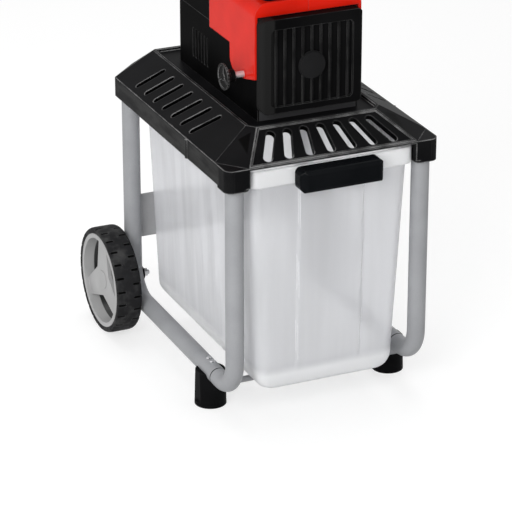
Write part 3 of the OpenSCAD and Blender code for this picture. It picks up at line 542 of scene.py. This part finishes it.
@dataclass(frozen=True)
class TreadMoulding(Moulding):
    """A tyre with dusty patches and painted shade in its grooves."""

    dust: float = 0.052
    dust_scale: float = 26.0
    dust_span: Edge = (0.42, 0.7)
    axle: tuple[float, float] = (0.2305, 0.108)
    # tone of the painted shade in the grooves
    groove_shade_tone: float = 0.003
    groove_reach: Edge = (0.1058, 0.1072)
    tread_x: Band = (0.2165, 0.218, 0.262, 0.2635)

    def zones(self, g: Graph, base: Any) -> Any:
        """Dusts the blocks and darkens, as painted shade, what lies deeper than their tops.

        Args:
            g: the material's graph.
            base: colour so far.

        Returns:
            The colour with both.
        """
        x, y, z = g.axes()
        base = g.mix(g.noise(self.dust_scale, 3.0, 0.65).ramp(*self.dust_span), base, grey(self.dust))
        # painted shade in the grooves, under the tops of the blocks
        reach = ((y - self.axle[0]) ** 2.0 + (z - self.axle[1]) ** 2.0) ** 0.5
        deep = reach.fall(*self.groove_reach) * abs(x).within(self.tread_x)
        return g.mix(deep, base, grey(self.groove_shade_tone))


@dataclass(frozen=True)
class Metal:
    """Bare or coated metal: brushed, cast or powder coated by its numbers.

    ``sheen`` shifts the roughness and says what the clouds and the lines add to it.
    """

    name: str
    colour: Colour
    metallic: float = 1.0
    roughness: float = 0.32
    stretch: tuple[float, float, float] = (1, 1, 1)
    scale: float = 300.0
    depth: float = 0.00003
    edge_radius: float = 0.0006
    ior: float = 1.5
    sheen: tuple[float, float, float] = (-0.07, 0.14, 0.06)
    cloud_scale: float = 14.0
    dark_share: float = 0.82
    seam: Edge | None = None
    seam_soft: float = 0.0006
    seam_x: Edge = (0.165, 0.17)
    # tone of the painted shade in the seam's gap
    seam_shade_tone: float = 0.004

    def material(self) -> bpy.types.Material:
        """Fine lines or grain, with clouded sheen, and painted shade in the gap between the two ends of a
        seam along y.

        Returns:
            The material.
        """
        g = Graph(self.name)
        line = g.noise(self.scale, 3.0, 0.6, self.stretch)
        cloud = g.noise(self.cloud_scale, 3.0)
        dark = tuple(c * self.dark_share for c in self.colour)
        base = g.mix((0.5 * line + 0.5 * cloud).ramp(*GRAIN_SPAN), dark, self.colour)
        if self.seam:
            # painted shade in the gap between the two tube ends
            x, y, _ = g.axes()
            start, end = self.seam
            gap = y.within((start - self.seam_soft, start, end, end + self.seam_soft))
            base = g.mix(gap * abs(x).ramp(*self.seam_x), base, grey(self.seam_shade_tone))
        shift, cloudy, lined = self.sheen
        g.surface({
            "Base Color": base,
            "Metallic": self.metallic,
            "Roughness": self.roughness + shift + cloudy * cloud + lined * line,
            "IOR": self.ior,
            "Normal": g.bump(line, self.depth, g.rounded(self.edge_radius)),
        })
        return g.material


@dataclass(frozen=True)
class Frosted:
    """Milky polypropylene that lets blurred light through its thin wall.

    ``sheen`` says what the flow marks and the frost add to the roughness.
    """

    name: str
    colour: Colour = (0.84, 0.845, 0.865)
    roughness: float = 0.26
    sheen: tuple[float, float] = (0.1, 0.05)
    through: float = 0.5
    cover: float = 0.7
    ior: float = 1.08
    edge_radius: float = 0.003
    edge_gain: float = 8.0
    flow_scale: float = 10.0
    flow_stretch: tuple[float, float, float] = (1.0, 1.0, 0.25)
    streak_scale: float = 38.0
    streak_stretch: tuple[float, float, float] = (1.0, 1.0, 0.06)
    frost_scale: float = 900.0
    frost_share: float = 0.15
    wave_span: Edge = (0.35, 0.65)
    front_wave: float = 0.3
    side_wave: float = 0.7
    side_pale: float = 0.3
    dull_share: float = 0.88
    pale_share: float = 1.08
    side_x: Edge = (0.128, 0.14)
    rim_z: Edge = (0.484, 0.488)
    low_z: Edge = (0.09, 0.112)
    low_share: float = 0.8
    # colour of the denser rim and bottom, and of the painted highlight on edges
    dense_and_glint_colour: Colour = (0.97, 0.975, 0.98)
    thick_cover: float = 0.4
    side_clear: float = 0.05
    unevenness: float = 0.0008

    def material(self) -> bpy.types.Material:
        """A cloudy see-through wall with faint flow marks, denser at its rim and bottom, and paler at its
        edges, partly denser plastic and partly a painted highlight.

        Returns:
            The material.
        """
        g = Graph(self.name)
        flow = g.noise(self.flow_scale, 4.0, 0.55, self.flow_stretch)
        streak = g.noise(self.streak_scale, 3.0, 0.6, self.streak_stretch)
        frost = g.noise(self.frost_scale)
        x, _, z = g.axes()
        side = abs(x).ramp(*self.side_x)
        dull = tuple(c * self.dull_share for c in self.colour)
        pale = tuple(min(1.0, c * self.pale_share) for c in self.colour)
        wave = (0.4 * flow + 0.6 * streak).ramp(*self.wave_span) - 0.5
        wave = wave * (self.front_wave + self.side_wave * side)
        tone = g.mix((wave + 0.5 + self.side_pale * side).clamp(), dull, pale)
        normal = g.rounded(self.edge_radius)
        # painted highlight along the edges and ridges, where the plastic also reads denser
        border = (g.edge(normal) * self.edge_gain).clamp()
        dense_and_glint = (border + z.ramp(*self.rim_z) + self.low_share * z.fall(*self.low_z)).clamp()
        flowing, frosty = self.sheen
        g.surface({
            "Base Color": g.mix(dense_and_glint, tone, self.dense_and_glint_colour),
            "Roughness": self.roughness + flowing * flow + frosty * frost,
            "Transmission Weight": self.through,
            "IOR": self.ior,
            "Alpha": (self.cover - self.side_clear * side + self.thick_cover * dense_and_glint).clamp(),
            "Normal": g.bump(flow + self.frost_share * frost, self.unevenness, normal),
        })
        return g.material


class Tint(Enum):
    """The finishes that the machine's pieces take."""

    COVER = CoverMoulding("grained black", (0.0045, 0.0045, 0.005), edge_radius=0.003, edge_lift=0.26)
    CASE = Moulding(
        "casing black", (0.0013, 0.0013, 0.0014), 0.4, edge_radius=0.002, edge_lift=0.05, ior=1.04
    )
    FACE = FaceMoulding(
        "ribbed black", (0.003, 0.003, 0.0032), 0.36, edge_radius=0.0018, edge_lift=0.05, ior=1.06
    )
    DISC = Moulding("disc black", (0.011, 0.011, 0.0115), edge_lift=0.01)
    GRIP = Moulding("smooth black", (0.003, 0.0036, 0.0044), 0.22, 0.00001, edge_radius=0.003)
    FOOT = Moulding("foot black", (0.0045, 0.0045, 0.005), 0.5, edge_lift=0.02)
    TYRE = TreadMoulding("tread black", (0.017, 0.017, 0.018), 0.5, 0.00008, 700.0, edge_lift=0.05)
    KNOB = Moulding("knob grey", (0.003, 0.003, 0.003), edge_lift=0.26, ior=1.1)
    RIM = RimMoulding("rim grey", (0.33, 0.33, 0.33), 0.36, edge_lift=0.14, ior=1.4)
    RED = Moulding("housing red", (0.62, 0.011, 0.003), 0.2, 0.00001, edge_radius=0.003, ior=1.14)
    STOP = Moulding("stop red", (0.48, 0.012, 0.012), 0.3, 0.00001, ior=1.4)
    START = Moulding("start green", (0.012, 0.24, 0.05), 0.3, 0.00001, ior=1.4)
    WHITE = Moulding("capacitor white", (0.72, 0.72, 0.69), 0.35, ior=1.45)
    TUBE = Metal(
        "coated tube", (0.36, 0.366, 0.38), 0.12, 0.36,
        scale=900.0, depth=0.00002, ior=1.15, seam=(-0.2056, -0.2036),
    )
    PLATE = Metal("grey coated plate", (0.50, 0.502, 0.51), 0.2, 0.42, scale=900.0, ior=1.2)
    STUD = Metal("plain stud", (0.74, 0.74, 0.75), 0.5, 0.3)
    BRIGHT = Metal("bright zinc", (0.66, 0.66, 0.67), 1.0, 0.22)
    TOOL = Metal("ground steel", (0.42, 0.42, 0.43), 1.0, 0.3, (1, 0.06, 1), 500.0)
    CAST = Metal("die casting", (0.52, 0.53, 0.54), 0.9, 0.5, scale=420.0, depth=0.0001)
    CHAMBER = Metal("dark casting", (0.05, 0.05, 0.053), 0.3, 0.5, scale=420.0, depth=0.0001)
    COPPER = Metal("enamelled copper", (0.52, 0.21, 0.07), 0.9, 0.3, (1, 0.05, 1), 700.0, 0.0002)
    BOX = Frosted("milky box")


class Wardrobe:
    """Makes each finish's material once."""

    def __init__(self) -> None:
        """Starts with none made."""
        self.made: dict[Tint, bpy.types.Material] = {}

    def get(self, tint: Tint) -> bpy.types.Material:
        """The material of a finish."""
        if tint not in self.made:
            self.made[tint] = tint.value.material()
        return self.made[tint]

    def dress(self, target: bpy.types.Object, tint: Tint) -> None:
        """Gives an object one finish all over.

        Args:
            target: mesh object.
            tint: its finish.
        """
        target.data.materials.clear()
        target.data.materials.append(self.get(tint))


class Shell:
    """Gathers grids of points and puts them into one mesh."""

    def __init__(self, name: str) -> None:
        """Starts an empty mesh of that name."""
        self.name = name
        self.points: list[np.ndarray] = []
        self.faces: list[np.ndarray] = []
        self.count = 0

    def add(
        self, grid: np.ndarray, around: bool = False, along: bool = False, flip: bool = False
    ) -> "Shell":
        """Adds one grid of quads.

        Args:
            grid: rows x columns x 3, millimetres.
            around: the last column joins the first.
            along: the last row joins the first.
            flip: turns the faces round.

        Returns:
            This shell.
        """
        rows, cols = grid.shape[:2]
        index = np.arange(rows * cols).reshape(rows, cols) + self.count
        if around:
            index = np.concatenate([index, index[:, :1]], 1)
        if along:
            index = np.concatenate([index, index[:1]], 0)
        corners = [index[:-1, :-1], index[:-1, 1:], index[1:, 1:], index[1:, :-1]]
        quads = np.stack(corners, -1).reshape(-1, 4)
        self.faces.append(quads[:, ::-1] if flip else quads)
        self.points.append(grid.reshape(-1, 3))
        self.count += rows * cols
        return self

    def build(self, sharp: float = 40.0) -> bpy.types.Object:
        """Makes the object, with points that coincide joined and quads that shrink to a line left out.

        Args:
            sharp: angle in degrees past which an edge stays sharp.

        Returns:
            A mesh object at the origin.
        """
        points, faces = metres(np.concatenate(self.points)), np.concatenate(self.faces)
        key = np.round(points / WELD).astype(np.int64)
        _, first, where = np.unique(key, axis=0, return_index=True, return_inverse=True)
        points, faces = points[first], where.reshape(-1)[faces]
        doubled = (faces == np.roll(faces, 1, 1)).sum(1)
        quads = [tuple(f) for f in faces[doubled == 0].tolist()]
        triangles = [tuple(dict.fromkeys(f)) for f in faces[doubled == 1].tolist()]
        mesh = bpy.data.meshes.new(self.name)
        mesh.from_pydata(points.tolist(), [], quads + triangles)
        mesh.update()
        mesh.shade_smooth()
        mesh.set_sharp_from_angle(angle=math.radians(sharp))
        made = bpy.data.objects.new(self.name, mesh)
        bpy.context.scene.collection.objects.link(made)
        return made


@dataclass
class Shop:
    """What the sub-assemblies share: the loaded frame and the finishes."""

    frame: dict[str, Any]
    wardrobe: Wardrobe = field(default_factory=Wardrobe)

    def dress_nodes(self, tint: Tint, *names: str) -> None:
        """Gives solids one finish.

        Args:
            tint: the finish.
            names: the solids' names.
        """
        for name in names:
            self.wardrobe.dress(self.frame["nodes"][name], tint)
            log.info("dressed %s as %s", name, tint.name)

    def fit(self, piece: bpy.types.Object, tint: Tint, body: str, slot: str, *nodes: str) -> None:
        """Puts a new piece on its body.

        Args:
            piece: the new mesh.
            tint: its finish.
            body: the body that it moves with.
            slot: the record's material slot; not used.
            nodes: solids that it stands for.
        """
        self.wardrobe.dress(piece, tint)
        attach(piece, body)
        if nodes:
            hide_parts(*nodes)
        log.info("made %s for %s: %d faces", piece.name, ", ".join(nodes) or body, len(piece.data.polygons))


@dataclass(frozen=True)
class View:
    """The photograph's camera: turned and tilted round a point in the stand's frame."""

    turn: float = 23.94
    tilt: float = 23.654
    distance: float = 5.407
    focal_px: float = 2755.4
    target: tuple[float, float, float] = (-28.2, 9.4, 218.5)
    near: float = 0.05
    far: float = 60.0

    def place(self) -> None:
        """Makes the scene's camera."""
        a, e = math.radians(self.turn), math.radians(self.tilt)
        ahead = Vector((math.sin(a) * math.cos(e), math.cos(a) * math.cos(e), -math.sin(e)))
        right = Vector((math.cos(a), -math.sin(a), 0.0))
        data = bpy.data.cameras.new("camera")
        data.sensor_width, data.lens = SENSOR_MM, SENSOR_MM * self.focal_px / PICTURE_PX
        data.clip_start, data.clip_end = self.near, self.far
        made = bpy.data.objects.new("camera", data)
        bpy.context.scene.collection.objects.link(made)
        turn = Matrix((right, right.cross(ahead), -ahead)).transposed().to_4x4()
        stand = Vector(metres(self.target)) - ahead * self.distance
        made.matrix_world = Matrix.Translation(stand) @ turn
        bpy.context.scene.camera = made


@dataclass(frozen=True)
class Lamp:
    """One soft square light."""

    name: str
    place: tuple[float, float, float]
    size: float
    power: float

    def hang(self) -> None:
        """Makes the lamp, looking at the machine's middle."""
        data = bpy.data.lights.new(self.name, "AREA")
        data.shape, data.size, data.energy = "SQUARE", self.size, self.power
        made = bpy.data.objects.new(self.name, data)
        made.location = self.place
        made.rotation_euler = (Vector(LAMP_AIM) - Vector(self.place)).to_track_quat("-Z", "Y").to_euler()
        bpy.context.scene.collection.objects.link(made)


@dataclass(frozen=True)
class Studio:
    """Pale floor, white surround and soft lamps."""

    lamps: tuple[Lamp, ...] = (
        Lamp("key", (-3.0, -2.8, 2.3), 2.4, 138.0),
        Lamp("fill", (3.2, -2.6, 1.9), 2.6, 5.0),
        Lamp("top", (0.3, 0.9, 4.2), 3.0, 70.0),
    )
    ambient: float = 0.42
    floor_half: float = 9000.0
    floor_z: float = -0.4
    floor_tone: float = 0.8
    shown_tone: float = 0.4
    shown_glow: float = 0.66

    def build(self) -> None:
        """Sets the world, the floor, the lamps and the colour transform."""
        scene = bpy.context.scene
        scene.view_settings.view_transform = "Standard"
        world = bpy.data.worlds.new("surround")
        scene.world = world
        world.use_nodes = True
        tree = world.node_tree
        back = tree.nodes["Background"]
        level = tree.nodes.new("ShaderNodeMapRange")
        level.inputs["To Min"].default_value = self.ambient
        level.inputs["To Max"].default_value = 1.0
        tree.links.new(seen_directly(tree), level.inputs["Value"])
        tree.links.new(level.outputs[0], back.inputs["Strength"])
        back.inputs["Color"].default_value = (1.0, 1.0, 1.0, 1.0)
        for lamp in self.lamps:
            lamp.hang()
        self.floor()

    def floor(self) -> None:
        """A wide pale floor that keeps the machine's shadow and melts into the white surround."""
        ends = (-self.floor_half, self.floor_half)
        grid = np.array([[[x, y, self.floor_z] for x in ends] for y in ends])
        made = Shell("floor").add(grid).build()
        g = Graph("pale floor")
        plain = g.node("ShaderNodeBsdfDiffuse", None, {"Color": grey(self.floor_tone)})
        faint = g.node("ShaderNodeBsdfDiffuse", None, {"Color": grey(self.shown_tone)})
        glow = g.node("ShaderNodeEmission", None, {"Color": grey(1.0), "Strength": self.shown_glow})
        shown = g.node("ShaderNodeAddShader", None, {0: faint.outputs[0], 1: glow.outputs[0]})
        sockets = {0: seen_directly(g.tree), 1: plain.outputs[0], 2: shown.outputs[0]}
        both = g.node("ShaderNodeMixShader", None, sockets)
        g.put(g.output.inputs["Surface"], both.outputs[0])
        made.data.materials.append(g.material)


def rounded_rows(
    half: np.ndarray, front: np.ndarray, rear: np.ndarray, radius: np.ndarray, side: int = 40, arc: int = 8
) -> tuple[np.ndarray, np.ndarray]:
    """Rounded rectangles, one a row, as straight runs joined by quarter circles.

    Every row has the same number of points, so rows join into a grid. The points run anticlockwise from the
    front's middle, seen from above.

    Args:
        half: half widths.
        front: front edges' y.
        rear: rear edges' y.
        radius: corner radii.
        side: points on a straight run.
        arc: points on a corner.

    Returns:
        x and y arrays, rows x points.
    """
    half, front, rear, radius = (np.asarray(v, float)[:, None] for v in (half, front, rear, radius))
    t = np.linspace(0.0, 1.0, side, endpoint=False)[None]
    q = np.linspace(0.0, QUARTER, arc, endpoint=False)[None]
    inner_x, y0, y1 = half - radius, front + radius, rear - radius
    one = np.ones_like(t)
    rise, run = radius * np.sin(q), radius * np.cos(q)
    xs = [t * inner_x, inner_x + rise, half * one, inner_x + run, inner_x * (1 - 2 * t),
          -inner_x - rise, -half * one, -inner_x - run, -inner_x * (1 - t)]
    ys = [front * one, y0 - run, y0 + (y1 - y0) * t, y1 + rise, rear * one,
          y1 + run, y1 + (y0 - y1) * t, y0 - rise, front * one]
    return np.concatenate(xs, 1), np.concatenate(ys, 1)


@dataclass
class CollectionBox:
    """The see-through pull-out box.

    The ``low`` sizes are those of the walls where the round bottom edge begins, and the ``lean`` sizes say
    how far they move out from there up to the rim. ``rim_inside`` goes down inside the rim as depths under
    its top and insets past the wall. The relief fades in between two heights over the floor.
    """

    floor: float = 64.0
    wall: float = 2.6
    low_half: float = 141.5
    low_front: float = -261.0
    low_rear: float = 258.0
    lean_half: float = 18.0
    lean_front: float = 11.0
    lean_rear: float = 3.0
    corner: float = 22.0
    least_corner: float = 6.0
    corner_share: float = 0.3
    round_high: float = 28.0
    round_in: float = 25.0
    end_share: float = 0.36
    floor_rings: tuple[float, ...] = (100.0, 60.0, 40.0)
    wall_low: float = 34.0
    wall_rows: int = 46
    turn_rows: int = 7
    rim_half: float = 166.5
    rim_front: float = -278.0
    rim_rear: float = 267.0
    rim_low: float = 487.0
    rim_high: float = 521.0
    rim_corner: float = 16.0
    rim_foot: float = 4.0
    rim_crown: float = 5.0
    rim_crown_in: float = 2.4
    rim_inside: tuple[tuple[float, float], ...] = ((0.0, 0.4), (2.0, 1.2), (29.0, 1.2), (30.4, 2.0))
    rim_gap: float = 3.0
    panel_half: float = 66.0
    panel_edge: float = 1.2
    panel_rise: float = 3.0
    panel_y: Edge = (232.0, 246.0)
    panel_reach: float = 118.0
    rib_middle: float = -5.0
    rib_pitch: float = 62.0
    rib_rise: float = 1.6
    rib_shape: Edge = (0.55, 0.8)
    rib_x: Edge = (124.0, 134.0)
    rib_reach: Edge = (205.0, 220.0)
    relief_low: Edge = (30.0, 50.0)
    relief_high: Edge = (470.0, 484.0)
    sharp: float = 35.0

    def rows(self, heights: np.ndarray, inset: np.ndarray) -> tuple[np.ndarray, np.ndarray]:
        """Outlines of the tapering body.

        The walls lean in straight lines from the rim to the round bottom edge, which is drawn in further at
        the sides than at the ends.

        Args:
            heights: z of each row.
            inset: how far each row is drawn in at the sides.

        Returns:
            x and y arrays, rows x points.
        """
        start = self.floor + self.round_high
        k = np.maximum((heights - start) / (self.rim_low - start), 0.0)
        ends = np.minimum(inset, self.wall) + self.end_share * np.maximum(inset - self.wall, 0.0)
        x, y = rounded_rows(
            self.low_half + self.lean_half * k - inset,
            self.low_front - self.lean_front * k + ends,
            self.low_rear + self.lean_rear * k - ends,
            np.maximum(self.corner - inset * self.corner_share, self.least_corner),
        )
        return self.relief(x, y, heights[:, None])

    def relief(self, x: np.ndarray, y: np.ndarray, z: np.ndarray) -> tuple[np.ndarray, np.ndarray]:
        """Adds the front's raised middle panel and the upright ribs of the sides.

        Args:
            x: x of the points.
            y: y of the points.
            z: z of the points.

        Returns:
            The moved x and y.
        """
        out, along = np.abs(x), y - self.rib_middle
        fade = smooth_step(z - self.floor, *self.relief_low) * (1.0 - smooth_step(z, *self.relief_high))
        front = smooth_step(-y, *self.panel_y) * (out < self.panel_reach)
        panel = 1.0 - smooth_step(out, self.panel_half - self.panel_edge, self.panel_half + self.panel_edge)
        sides = smooth_step(out, *self.rib_x) * (1.0 - smooth_step(np.abs(along), *self.rib_reach))
        wave = 0.5 + 0.5 * np.cos(along / self.rib_pitch * 2.0 * np.pi)
        rib = smooth_step(wave, *self.rib_shape)
        x = x + np.sign(x) * sides * rib * fade * self.rib_rise
        return x, y - front * panel * fade * self.panel_rise

    def rim(self) -> tuple[np.ndarray, np.ndarray, np.ndarray]:
        """The rim's band: a rounded foot, an upright face, a rounded top edge and the way down inside.

        Returns:
            x and y arrays, rows x points, and each row's z.
        """
        turn = np.linspace(0.0, QUARTER, self.turn_rows)
        depth, past = np.array(self.rim_inside).T
        z = np.concatenate([self.rim_low + self.rim_foot * (1 - np.cos(turn)),
                            self.rim_high - self.rim_crown * (1 - np.sin(turn)), self.rim_high - depth])
        inset = np.concatenate([self.rim_foot * (1 - np.sin(turn)),
                                self.rim_crown_in * (1 - np.cos(turn)), self.wall + past])
        x, y = rounded_rows(self.rim_half - inset, self.rim_front + inset, self.rim_rear - inset,
                            self.rim_corner - inset)
        return x, y, z

    def build(self, shop: Shop) -> None:
        """Makes the wall as one closed skin: outside from the floor up, over the rim and down inside."""
        turn = np.linspace(0.0, QUARTER, self.turn_rows)
        wall_start = self.floor + self.wall_low
        wall_z = np.linspace(wall_start, self.rim_low - self.rim_gap, self.wall_rows)
        out_z = np.concatenate([np.full(len(self.floor_rings), self.floor),
                                self.floor + self.round_high * (1 - np.cos(turn)), wall_z])
        out_in = np.concatenate([self.floor_rings, self.round_in * (1 - np.sin(turn)),
                                 np.zeros(self.wall_rows)])
        in_z, in_in = out_z[::-1].copy(), out_in[::-1] + self.wall
        in_z[in_z < wall_start] += self.wall
        out_x, out_y = self.rows(out_z, out_in)
        rim_x, rim_y, rim_z = self.rim()
        in_x, in_y = self.rows(in_z, in_in)
        xs, ys = np.concatenate([out_x, rim_x, in_x]), np.concatenate([out_y, rim_y, in_y])
        zs = np.concatenate([out_z, rim_z, in_z])[:, None] + 0 * xs
        skin = np.stack([xs, ys, zs], -1)
        ends = [np.broadcast_to(skin[i].mean(0), skin[i].shape)[None] for i in (0, -1)]
        grid = np.concatenate([ends[0], skin, ends[1]])
        piece = Shell("box_shell").add(grid, around=True).build(self.sharp)
        shop.fit(piece, Tint.BOX, "box", "box_plastic", "collection_box")
        shop.dress_nodes(Tint.GRIP, "box_handle")


@dataclass
class RoadWheel:
    """A tyre with short shoulder grooves on a spoked rim.

    ``bead`` runs from the rim up one side to the shoulder, as shares of half the width and heights over the
    rim; the other side mirrors it.
    """

    left: bool
    radius: float = 108.0
    inner_face: float = 214.0
    width: float = 52.0
    rim: float = 96.0
    axle_y: float = 257.0
    bead: tuple[tuple[float, float], ...] = ((-0.9, 0.1), (-0.96, 1.0), (-1.0, 4.0), (-1.0, 7.0))
    crown: float = 3.5
    crown_power: int = 8
    across_points: int = 41
    blocks: int = 24
    block_points: int = 32
    groove: float = 3.0
    groove_width: Edge = (0.05, 0.1)
    groove_reach: Edge = (0.3, 0.4)
    sharp: float = 28.0

    def tread(self, angle: np.ndarray, across: np.ndarray) -> np.ndarray:
        """Depth of the tread pattern.

        Thin cross grooves run in from each shoulder over a third of the width, those of one side midway
        between those of the other, and leave the middle smooth.

        Args:
            angle: turns round the wheel, 0 to 1.
            across: -1 at one side of the tread and 1 at the other.

        Returns:
            How far the surface lies under the top of the blocks, millimetres.
        """
        row = np.where(across > 0, 0.0, 0.5)
        phase = (angle * self.blocks + row) % 1.0
        cross = 1.0 - smooth_step(np.abs(phase - 0.5), *self.groove_width)
        return self.groove * cross * smooth_step(np.abs(across), *self.groove_reach)

    def build(self, shop: Shop) -> None:
        """Makes the tyre as a turned profile whose outside follows the tread pattern."""
        side, sign = ("left", -1.0) if self.left else ("right", 1.0)
        count = self.blocks * self.block_points
        angle = np.linspace(0.0, 1.0, count, endpoint=False)
        across = np.linspace(-1, 1, self.across_points)
        a, w = np.meshgrid(angle, across, indexing="ij")
        top = self.radius - self.crown * np.abs(w) ** self.crown_power - self.tread(a, w)
        bead_x, bead_up = np.array(self.bead).T
        wall = np.tile(self.rim + bead_up, (count, 1))
        r = np.concatenate([wall, top, wall[:, ::-1]], 1)
        x = np.concatenate([bead_x, across, -bead_x[::-1]])
        middle = self.inner_face + self.width / 2
        t = angle[:, None] * 2 * np.pi
        grid = np.stack([sign * (middle + x[None] * self.width / 2) + 0 * r,
                         self.axle_y + r * np.cos(t), self.radius + r * np.sin(t)], -1)
        shell = Shell(f"tread_{side}").add(grid, around=True, along=True, flip=self.left)
        shop.fit(shell.build(self.sharp), Tint.TYRE, f"wheel_{side}", "tyre_rubber", f"tyre_{side}")
        shop.dress_nodes(Tint.RIM, f"wheel_rim_{side}", f"hub_cap_{side}")


class Stand:
    """Tubes, feet, cross members and the moulded cover on top."""

    def build(self, shop: Shop) -> None:
        """Dresses the stand's solids."""
        shop.dress_nodes(
            Tint.TUBE, "front_leg_left", "front_leg_right", "rear_leg_left", "rear_leg_right", "cross_tube"
        )
        shop.dress_nodes(Tint.PLATE, "rear_plate")
        shop.dress_nodes(
            Tint.FOOT, "foot_left", "foot_right", "axle_washers", "box_guide_left", "box_guide_right"
        )
        shop.dress_nodes(Tint.BRIGHT, "frame_screws", "axle_bolts", "axle_nuts", "deck_screws")
        shop.dress_nodes(Tint.COVER, "stand_cover")


class CuttingUnit:
    """The casing, hopper, roller, gears and motor above the deck."""

    def build(self, shop: Shop) -> None:
        """Dresses the unit's solids."""
        shop.dress_nodes(Tint.CASE, "base_housing", "motor_cover", "hopper", "switch_box")
        shop.dress_nodes(Tint.FACE, "front_cover")
        shop.dress_nodes(Tint.DISC, "front_disc")
        shop.dress_nodes(Tint.RED, "housing_left", "housing_right", "spindle_nut")
        shop.dress_nodes(Tint.KNOB, "adjust_knob", "direction_knob", "fan")
        shop.dress_nodes(Tint.START, "on_button")
        shop.dress_nodes(Tint.STOP, "off_button")
        shop.dress_nodes(Tint.CHAMBER, "cutter_chamber")
        shop.dress_nodes(Tint.STUD, "adjust_spindle")
        shop.dress_nodes(Tint.COPPER, "windings")
        shop.dress_nodes(Tint.WHITE, "capacitor")
        shop.dress_nodes(Tint.CAST, "gear_case", "gear_cover", "motor_case", "motor_shield")
        shop.dress_nodes(
            Tint.TOOL, "cutting_drum", "counter_plate", "output_gear", "lay_gear", "stator_core",
            "rotor_core",
        )
        shop.dress_nodes(
            Tint.BRIGHT, "hopper_screws", "drum_shaft", "drum_bearing_front", "drum_bearing_rear",
            "lay_shaft", "lay_bearings", "motor_shaft", "motor_bearings",
        )


def main() -> None:
    """Builds the sub-assemblies in order."""
    logging.basicConfig(level=logging.INFO, format="%(name)s: %(message)s")
    shop = Shop(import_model())
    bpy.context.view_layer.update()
    View().place()
    Studio().build()
    Stand().build(shop)
    for left in (True, False):
        RoadWheel(left).build(shop)
    CollectionBox().build(shop)
    CuttingUnit().build(shop)


if __name__ == "__main__":
    main()
